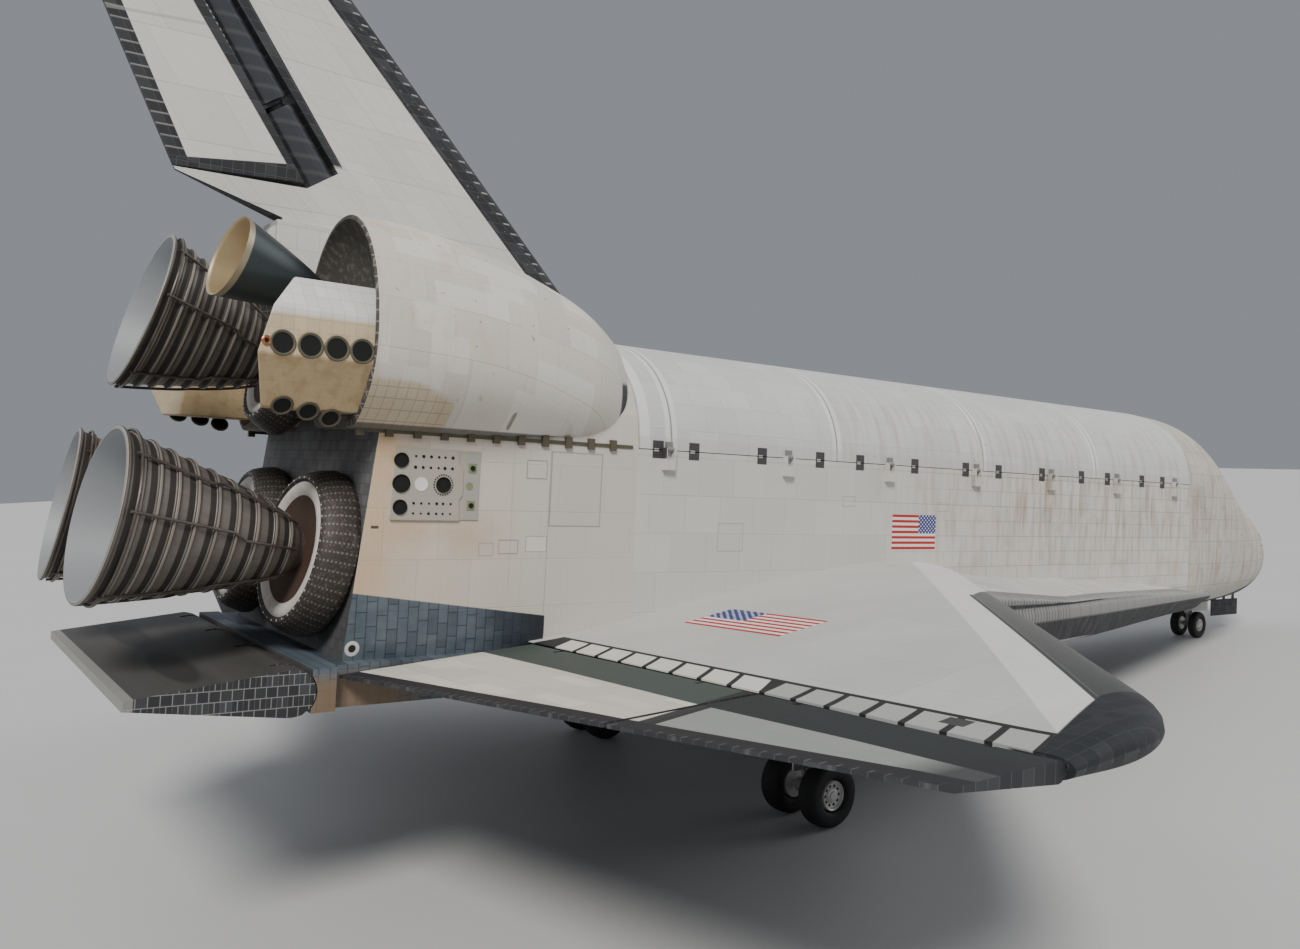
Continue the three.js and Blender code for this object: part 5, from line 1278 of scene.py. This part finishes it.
# Painted shade: the carbon panels grow darker towards the tip.
wing.layer(carbon * out.over(340, 190) * 0.8, (0.030, 0.031, 0.031))
tip = (station * 0.28 - out + 66).under(0, 1) * out.over(432, 1)
black_tiles(wing, tip, station, out, 8.0, (0.016, 0.021, 0.028))
# Painted shade: the black tiles at the tip are darkened further, nearly to black.
wing.layer(tip * 0.65, (0.006, 0.007, 0.009), 0.8)
belly_tiles(wing, 1 - over_wing, station, out)
wing.layer(station.over(1384.5, 0.4) * (1 - doors) * 0.9, 0.03)
wing_felt = wing.done()

glove = Finish("felt_of_the_gloves", (0.54, 0.54, 0.52), 0.8)
station, lateral, _ = glove.stations()
out = abs(lateral)
felt(glove, station, out, (38, 20), 5.6)
grown = ((station - GLOVE_FORE) / 330).clamped().power(0.7)
edge = (station - 500) / GLOVE_SLOPE + 102 - (1 - grown) * 15 - out
carbon = edge.under(9.5, 0.6)
glove.layer(carbon, (0.21, 0.205, 0.20), 0.42)
scales = (station / 5.2).fraction()
glove.layer(carbon * station.between(905, 1030, 12) * scales.under(0.3, 0.2) * 0.8, 0.05)
glove.layer(carbon * (station / 21).fraction().under(0.05, 0.03) * 0.7, 0.05)
glove.raise_by(carbon * scales)
streaks(glove, 1 - carbon, station, out, 31.0, 0.25)
belly_tiles(glove, glove.facing("Z").under(-0.25, 0.1), station, out)
glove_felt = glove.done()

for name, side in SIDES.items():
    panel = tube_piece(f"{name}_wing_shell", wing_rings() * (1, side, 1), wing_felt, sharp=32)
    carved(panel, [box_shape(*WELL[:2], side * WELL[2], side * WELL[3], *WELL[4:])])
    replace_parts(panel, f"{name}_wing")
    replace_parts(panel, f"{name}_leading_edge")
    tube_piece(f"{name}_glove_shell", glove_rings() * (1, side, 1), glove_felt, sharp=40)

elevon = Finish("felt_of_the_elevons", (0.60, 0.565, 0.50), 0.8)
station, lateral, _ = elevon.stations()
out = abs(lateral)
from_tail = 1525.24 - out * 0.1773 - station
gap_line = out - (station - 1400) * 0.222
outboard = gap_line.over(312, 0.5)
_, pad_tone = elevon.tiles(out + 9, station, 34, 9.5, 0.3, 0.37)
felt(elevon, out, station, (47, 23), 5.6)
elevon.layer(pad_tone.over(0.78, 0.05) * (1 - outboard) * 0.35, (0.78, 0.76, 0.71))
elevon.layer(outboard, (0.27, 0.285, 0.272))
elevon.layer(outboard * elevon.cloud(station / 10, out / 30, 2.0).over(0.55, 0.2) * 0.3, (0.33, 0.33, 0.29))
strip = station.under(ELEVON_STRIP, 0.5)
# Painted shade over real dark tiles: the strip along the elevons' front is darker than the tiles' own
# colour, nearly black outboard.
elevon.layer(strip, (0.048, 0.064, 0.057), 0.65)
elevon.layer(strip * outboard * 0.9, (0.013, 0.015, 0.017), 0.75)
elevon.layer(from_tail.under(11, 0.5), (0.014, 0.012, 0.015), 0.7)
tail_ticks = (out / 6.2).fraction().under(0.1, 0.05) * from_tail.under(3, 0.4)
elevon.layer(tail_ticks * 0.4, 0.3)
elevon.layer(gap_line.between(306.5, 316, 0.6) * 0.97, (0.013, 0.013, 0.015), 0.7)
elevon.layer(out.over(442, 20) * station.over(1400, 6) * 0.85, (0.012, 0.014, 0.018))
under = elevon.facing("Z").under(0.2, 0.2)
black_tiles(elevon, under.most(abs(elevon.facing("X")).over(0.8, 0.1)), out, station, 6.2)
dress([f"{side}_{place}_elevon" for side in SIDES for place in ("inboard", "outboard")], elevon.done())

flap = Finish("body_flap_tiles", (0.048, 0.046, 0.043), 0.6)
station, lateral, height = flap.stations()
bands = flap.cloud(0.0, station / 26, 3.0, 3.0)
flap.layer(bands.over(0.5, 0.3) * 0.45, (0.11, 0.105, 0.098))
for middle in (-58, 58):
    ellipse = distance((lateral - middle) / 48, (station - 1578) / 9)
    flap.layer(ellipse.under(1, 0.25) * 0.7, (0.018, 0.017, 0.017))
side_face = abs(flap.facing("X")).over(0.8, 0.1)
black_tiles(flap, side_face, station, height, 5.6)
belly_tiles(flap, flap.facing("Z").under(-0.2, 0.1), station, lateral)
side_joints, _ = flap.tiles(station, height, 5.6, 5.6, 0.4, 0.5)
flap.layer(side_face * side_joints * 0.6, (0.38, 0.38, 0.36))
flap.layer(station.over(1608, 0.6) * 0.5, (0.42, 0.41, 0.38))
dress(["body_flap"], flap.done())


# Forward fuselage and nose
# The crew module's shell, the thruster module in front of it and the carbon nose cap make one
# smooth form. Its windows and hatch are cut through the shell, and the nose gear's well below.

# Columns: station, half width, bottom, height of the widest line, top, and the powers of the
# superellipses below and above that line.
HULL = np.array([
    (236, 1.5, 334.5, 336, 337.5, 2, 2), (239, 11, 325, 336.5, 348, 2, 2),
    (246, 20.5, 314.5, 337, 358.5, 2, 2), (262, 34, 302.5, 338, 371, 2, 2.05),
    (285, 47, 294.5, 339, 384, 2.1, 2.05), (320, 61, 288.5, 341, 401, 2.3, 2.1),
    (360, 73, 285, 345, 418, 2.6, 2.1), (405, 83, 283.5, 354, 437, 3, 2.1),
    (440, 90, 283, 368, 462, 3.5, 2.1), (478, 95.5, 282.5, 384, 485, 4, 2.15),
    (520, 99.5, 282.5, 404, 496, 5, 2.2), (582, 102, 282, 420, 500, 10, 2.2)], float)
CAP_START, CAP_END, SHELL = 236.28, 262.0, 4.0
# Columns: station, distance to starboard, height, yaw, pitch, width and height of a pane.
WINDSHIELDS = [(434, 14, 457, 6, 50, 20, 26), (441, 39, 452, 33, 46, 20, 25), (459, 64, 446, 62, 40, 24, 22)]
OVERHEAD = (512, 15, 495, 0, 88, 19, 19)
HATCH_PLACE, HATCH_RADIUS = (511, 350), 20.4


def hull_rings(stations, inset=0.0, sides=128):
    """Closed superellipse sections: each column of the table is a smooth curve of the square root
    of the distance behind the nose."""
    stations = np.asarray(stations, float)
    table = np.concatenate([np.sqrt(HULL[:, :1] - HULL[0, 0]), HULL[:, 1:]], 1)
    rows = smooth_rows(table, np.sqrt(stations - HULL[0, 0]))
    half, bottom, widest, top, below, above = [rows[:, k:k + 1] for k in range(1, 7)]
    angle = (np.arange(sides) + 0.5) / sides * 2 * math.pi
    across, up = np.cos(angle), np.sin(angle)
    power = np.where(up >= 0, 2 / above, 2 / below)
    reach = np.where(up >= 0, top - widest, widest - bottom) - inset
    lateral = (half - inset) * np.sign(across) * np.abs(across) ** power
    height = widest + reach * np.sign(up) * np.abs(up) ** power
    return np.stack([np.broadcast_to(stations[:, None], lateral.shape), lateral, height], -1)


def pane_axes(yaw, pitch):
    """Across, up and outward directions of a pane, in stations."""
    yaw, pitch = math.radians(yaw), math.radians(pitch)
    facing = np.array([-math.cos(pitch) * math.cos(yaw), math.cos(pitch) * math.sin(yaw), math.sin(pitch)])
    across = np.array([math.sin(yaw), math.cos(yaw), 0])
    return across, np.cross(facing, across), facing


def pane_cutter(row, side):
    """A rounded opening through the shell: a prism along the pane's outward direction."""
    centre, (width, tall) = np.array(row[:3], float), row[5:]
    across, up, facing = pane_axes(*row[3:5])
    cosine, sine = np.cos(circle(40)), np.sin(circle(40))
    u = width / 2 * np.sign(cosine) * np.abs(cosine) ** 0.35
    v = tall / 2 * np.sign(sine) * np.abs(sine) ** 0.35
    ring = centre + u[:, None] * across + v[:, None] * up
    return tube_shape(np.stack([ring - 13 * facing, ring + 13 * facing]) * (1, side, 1))


nose = Finish("felt_and_tiles_of_the_nose", (0.54, 0.52, 0.48), 0.8)
station, lateral, height = nose.stations()
out = abs(lateral)
felt(nose, station, height, (27, 22), 4.6)
panels, panel_tone = nose.tiles(station, height, 12.4, 24, 0.45, 0.31)
upright = nose.facing("Z").under(0.75, 0.3)
nose.layer(panel_tone.over(0.62, 0.2) * 0.4 * upright, (0.52, 0.46, 0.38))
nose.layer(panels * 0.7 * upright, SEAM_DARK)
streaks(nose, height.over(310, 30) * upright, station, height, 47.0, 0.5)
nose.layer(nose.cloud(station / 18, height / 14, 5.0).over(0.60, 0.15) * upright * 0.35, STAIN_BROWN)
module, module_face = [station.between(268 + edge, 341 - edge, 0.5) * height.over(352 + edge, 0.5)
                       for edge in (0, 1.4)]
nose.layer(module * (1 - module_face) * 0.75, 0.09)
chin = ((500 - station) / 238).most(0.0).power(2.0) * 40 + 292
belly_tiles(nose, (chin - height).over(0, 0.6), station, lateral, 7.0)
muzzle = (station - (372 - height) * 0.22 - 276).under(0, 0.8)
muzzle = muzzle * (height - (station - 262) * 1.1 - 374).under(0, 1)
black_tiles(nose, muzzle, station, lateral + height, 6.2, (0.06, 0.06, 0.058))
nose.layer(muzzle * nose.cloud(station / 1.6, height / 1.6, 2.0).over(0.58, 0.1) * 0.4, (0.3, 0.29, 0.27))
for row in WINDSHIELDS + [OVERHEAD]:
    offset = [station - row[0], out - row[1], height - row[2]]
    u, v, w = [sum(own * float(part) for own, part in zip(offset, axis)) for axis in pane_axes(*row[3:5])]
    near = abs(w).under(15, 1)
    half_width, half_height = row[5] / 2, row[6] / 2
    border, frame_line = [
        abs(u).under(half_width + wider, soft) * abs(v).under(half_height + wider, soft) * near
        for wider, soft in ((4.5, 0.4), (1.2, 0.3))]
    black_tiles(nose, border, u, v, 4.6)
    nose.layer(frame_line * 0.7, 0.14, 0.5)
ring = distance(station - HATCH_PLACE[0], height - HATCH_PLACE[1])
nose.layer(ring.under(22.5, 0.3) * lateral.under(-80, 1) * 0.9, 0.05)
bulkhead(nose, nose.facing("Y").under(-0.8, 0.1) * station.over(578, 1), lateral, height)
nose_tiles = nose.done()

stations = np.concatenate([[CAP_END + 0.3], np.linspace(265, 581.6, 96)])
shell = tube_piece("forward_shell", hull_rings(stations), nose_tiles, sharp=50)
opening = outward(circle(64), np.array([HATCH_RADIUS, 0, 0]), np.array([0, 0, HATCH_RADIUS]))
opening = opening + (HATCH_PLACE[0], 0, HATCH_PLACE[1])
carved(shell, [
    tube_shape(hull_rings(np.linspace(402, 574, 30), SHELL, 72)),
    box_shape(292, 392, -19, 19, 250, 322),
    tube_shape(np.stack([opening - (0, 120, 0), opening - (0, 70, 0)])),
    box_shape(570, 586, 7, 23, 452, 474), box_shape(570, 586, -23, -7, 452, 474),
    *[pane_cutter(row, side) for row in WINDSHIELDS + [OVERHEAD] for side in (1, -1)]])
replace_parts(shell, "forward_fuselage")
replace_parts(shell, "forward_thruster_module")

carbon_cap = Finish("carbon_nose_cap", (0.20, 0.20, 0.195), 0.5)
carbon_cap.mottled(30, 3, 0.55, 0.1, 0.5, (0.34, 0.34, 0.33)).mottled(5, 4, 0.5, 0.3, 0.4, 0.12)
stations = CAP_START + (CAP_END - CAP_START) * np.linspace(0, 1, 24) ** 2
cap = tube_piece("nose_cap_shell", hull_rings(stations), carbon_cap.done(), sharp=50)
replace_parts(cap, "nose_cap")

# Columns: station, angle around the hull from starboard over the top, and radius of a mouth.
FORWARD_MOUTHS = [(s, t, 3.4) for s in (296, 308) for t in (0.42, math.pi - 0.42)]
FORWARD_MOUTHS += [(288, math.pi / 2 + shift, 3.6) for shift in (-0.28, 0, 0.28)]
FORWARD_MOUTHS += [(322, math.pi / 2 + shift, 3.4) for shift in (-0.5, 0.5)]
RING_SIDES = 720
mouths = []
for s, turn, size in FORWARD_MOUTHS:
    ring = hull_rings([s - 2, s, s + 2], sides=RING_SIDES)
    index = int(turn / (2 * math.pi) * RING_SIDES)
    along = ring[2, index] - ring[0, index]
    round_ = ring[1, index + 2] - ring[1, index - 2]
    normal = np.cross(along, round_)
    normal *= np.sign(normal @ (ring[1, index] - (s, 0, 340)))
    profile = [(0.02, -1), (size, -1), (size, 0.35), (size - 0.5, 0.35), (size - 0.8, -0.1), (0.02, -0.1)]
    mouths.append(turned_shape(ring[1, index], normal, profile, 32))
# The forward thruster mouths are painted near black as painted shade.
several("forward_thruster_mouths", mouths, painted_shade_black)

glass = Finish("window_glass", (0.012, 0.016, 0.02), 0.06)
glass.shader.inputs["Coat Weight"].default_value = 0.6
dress(["windshield_glass", "overhead_glass", "aft_deck_glass"], glass.done())

cabin_finish = Finish("cabin_grey", (0.26, 0.28, 0.29), 0.6)
station, lateral, height = cabin_finish.stations()
cabin_finish.layer(station.under(447, 0.5) * height.over(410, 1), (0.05, 0.05, 0.055))
lamps, lamp_tone = cabin_finish.tiles(lateral, height, 4, 4, 1.2, 0.0)
lit = station.under(447, 0.5) * height.over(412, 1) * (1 - lamps) * lamp_tone.over(0.5, 0.1)
cabin_finish.layer(lit * 0.5, (0.2, 0.3, 0.28))
dress(["flight_deck"], cabin_finish.done())

hatch = Finish("felt_of_the_hatch", (0.54, 0.52, 0.48), 0.8)
station, _, height = hatch.stations()
felt(hatch, station, height, (20, 20), 4.6)
ring = distance(station - HATCH_PLACE[0], height - HATCH_PLACE[1])
hatch.layer(ring.under(7.2, 0.3), 0.10, 0.5)
hatch.layer(ring.under(5.2, 0.3), (0.012, 0.016, 0.02), 0.1)
hatch.layer(ring.between(15.5, 16.1, 0.3) * 0.5, SEAM_DARK)
dress(["crew_hatch"], hatch.done())


# Landing gear
# Paired wheels on a nose strut and on two main struts. The tyres are smooth with a few grooves,
# and the hubs have a ring of dark holes. Doors hang open beside the wells.

NOSE_HEIGHT = 190.6 + (1172.7 - 378) * math.tan(NOSE_DOWN) - (22.25 - 16) / math.cos(NOSE_DOWN)
# Columns: station, height, radius, width, spacing and rim radius of a pair of wheels.
MAIN_PAIR = (1172.7, 190.6, 22.25, 16, 37, 10.3)
NOSE_PAIR = (378, NOSE_HEIGHT, 16, 8.8, 22, 8)
HUB_HOLES = 10


def tyre_profile(radius, width, rim):
    """A rounded cross-section: a superellipse of the width over the wall, with three grooves."""
    turn = np.linspace(-0.5 * math.pi, 1.5 * math.pi, 96, endpoint=False)
    middle, reach = (radius + rim) / 2, (radius - rim) / 2
    along = width / 2 * np.sign(np.cos(turn)) * np.abs(np.cos(turn)) ** 0.72
    out = middle + reach * np.sign(np.sin(turn)) * np.abs(np.sin(turn)) ** 0.62
    crown = out > middle + 0.8 * reach
    grooves = sum(np.abs(along - share * width) < 0.02 * width for share in (-0.2, 0, 0.2))
    return np.stack([out - 0.03 - 0.35 * crown * np.clip(grooves, 0, 1), along], -1)


def rim_profile(rim, width, away):
    """A wheel half: a barrel, a stepped face with a dished middle and a hub cap."""
    half = width * 0.42
    side = [(rim - 0.1, -half), (rim - 0.1, half - 1.2), (rim - 0.5, half - 0.2), (rim * 0.93, half),
            (rim * 0.86, half - 0.5), (rim * 0.80, half - 1.7), (rim * 0.52, half - 2.3),
            (rim * 0.46, half - 1.0), (rim * 0.33, half - 0.5), (rim * 0.30, half + 0.2), (0.02, half + 0.3)]
    return [(r, a * away) for r, a in side] + [(0.02, -half * away)]


rubber = Finish("tyre_rubber", (0.012, 0.012, 0.013), 0.75)
tyre_rubber = rubber.mottled(9, 5, 0.5, 0.4, 0.3, (0.03, 0.029, 0.028)).done()
hub = Finish("hub_paint", (0.60, 0.59, 0.56), 0.4, 0.25)
hub_paint = hub.mottled(14, 4, 0.55, 0.15, 0.3, (0.30, 0.28, 0.25)).done()
strut = Finish("strut_paint", (0.50, 0.50, 0.49), 0.35, 0.35)
strut.mottled(6, 5, 0.55, 0.2, 0.35, (0.22, 0.21, 0.20))
dress(["nose_gear_leg", "nose_fork", "port_main_gear_leg", "starboard_main_gear_leg"], strut.done())

# Columns: name, dimensions, distance to starboard, and the tyres from port to starboard.
WHEEL_PAIRS = [
    ("starboard_main", MAIN_PAIR, 136, ("starboard_main_inner_tyre", "starboard_main_outer_tyre")),
    ("port_main", MAIN_PAIR, -136, ("port_main_outer_tyre", "port_main_inner_tyre")),
    ("nose", NOSE_PAIR, 0, ("port_nose_tyre", "starboard_nose_tyre"))]

for place, pair, lateral, tyres in WHEEL_PAIRS:
    station, height, radius, width, spacing, rim = pair
    body = f"{place}_wheels"
    shapes, holes = [], []
    for name, offset in zip(tyres, (-spacing / 2, spacing / 2)):
        centre = (station, lateral + offset, height)
        ring = turned_piece(f"{name}_rubber", centre, (0, 1, 0), tyre_profile(radius, width, rim + 0.3), 96,
                            tyre_rubber, body, 40)
        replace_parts(ring, name)
        away = math.copysign(1, offset)
        shapes.append(turned_shape(centre, (0, 1, 0), rim_profile(rim, width, away), 64))
        hole = [(0.02, -1), (rim * 0.1, -1), (rim * 0.1, 0.12), (0.02, 0.12)]
        for turn in circle(HUB_HOLES):
            spot = (station + rim * 0.66 * math.cos(turn), lateral + offset + away * (width * 0.42 - 2.0),
                    height + rim * 0.66 * math.sin(turn))
            holes.append(turned_shape(spot, (0, away, 0), hole, 14))
    axle = 2.6 if rim > 9 else 1.6
    shapes.append(turned_shape((station, lateral, height), (0, 1, 0), [
        (0.02, -spacing / 2), (axle, -spacing / 2), (axle, spacing / 2), (0.02, spacing / 2)], 24))
    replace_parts(several(f"{body}_rims", shapes, hub_paint, body), f"{place}_axle_and_rims")
    # The hub holes are painted near black as painted shade.
    several(f"{body}_hub_holes", holes, painted_shade_black, body)

door_tiles = Finish("gear_door_tiles", (0.60, 0.60, 0.58), 0.6)
station, lateral, height = door_tiles.stations()
out = abs(lateral)
ribs, _ = door_tiles.tiles(station, height, 15, 13, 1.2, 0.0)
door_tiles.layer(ribs * 0.3, 0.3)
black_tiles(door_tiles, out.over(165.2, 0.2).most(out.between(18.4, 19.6, 0.1)), station, height, 6.2)
dress([f"{side}_{place}_gear_door" for side in SIDES for place in ("main", "nose")], door_tiles.done())


# Floor finish
# The floor is smooth pale concrete.

concrete = Finish("pale_floor", 0.56, 0.55)
x, y, _ = concrete.objects()
concrete.shade(0.96 + concrete.cloud(x / 5, y / 5, 0.0, 5.0) * 0.08)
concrete.raise_by(concrete.cloud(x * 3, y * 3, 2.0) * 0.2)
floor_data.materials.append(concrete.done(0.002))
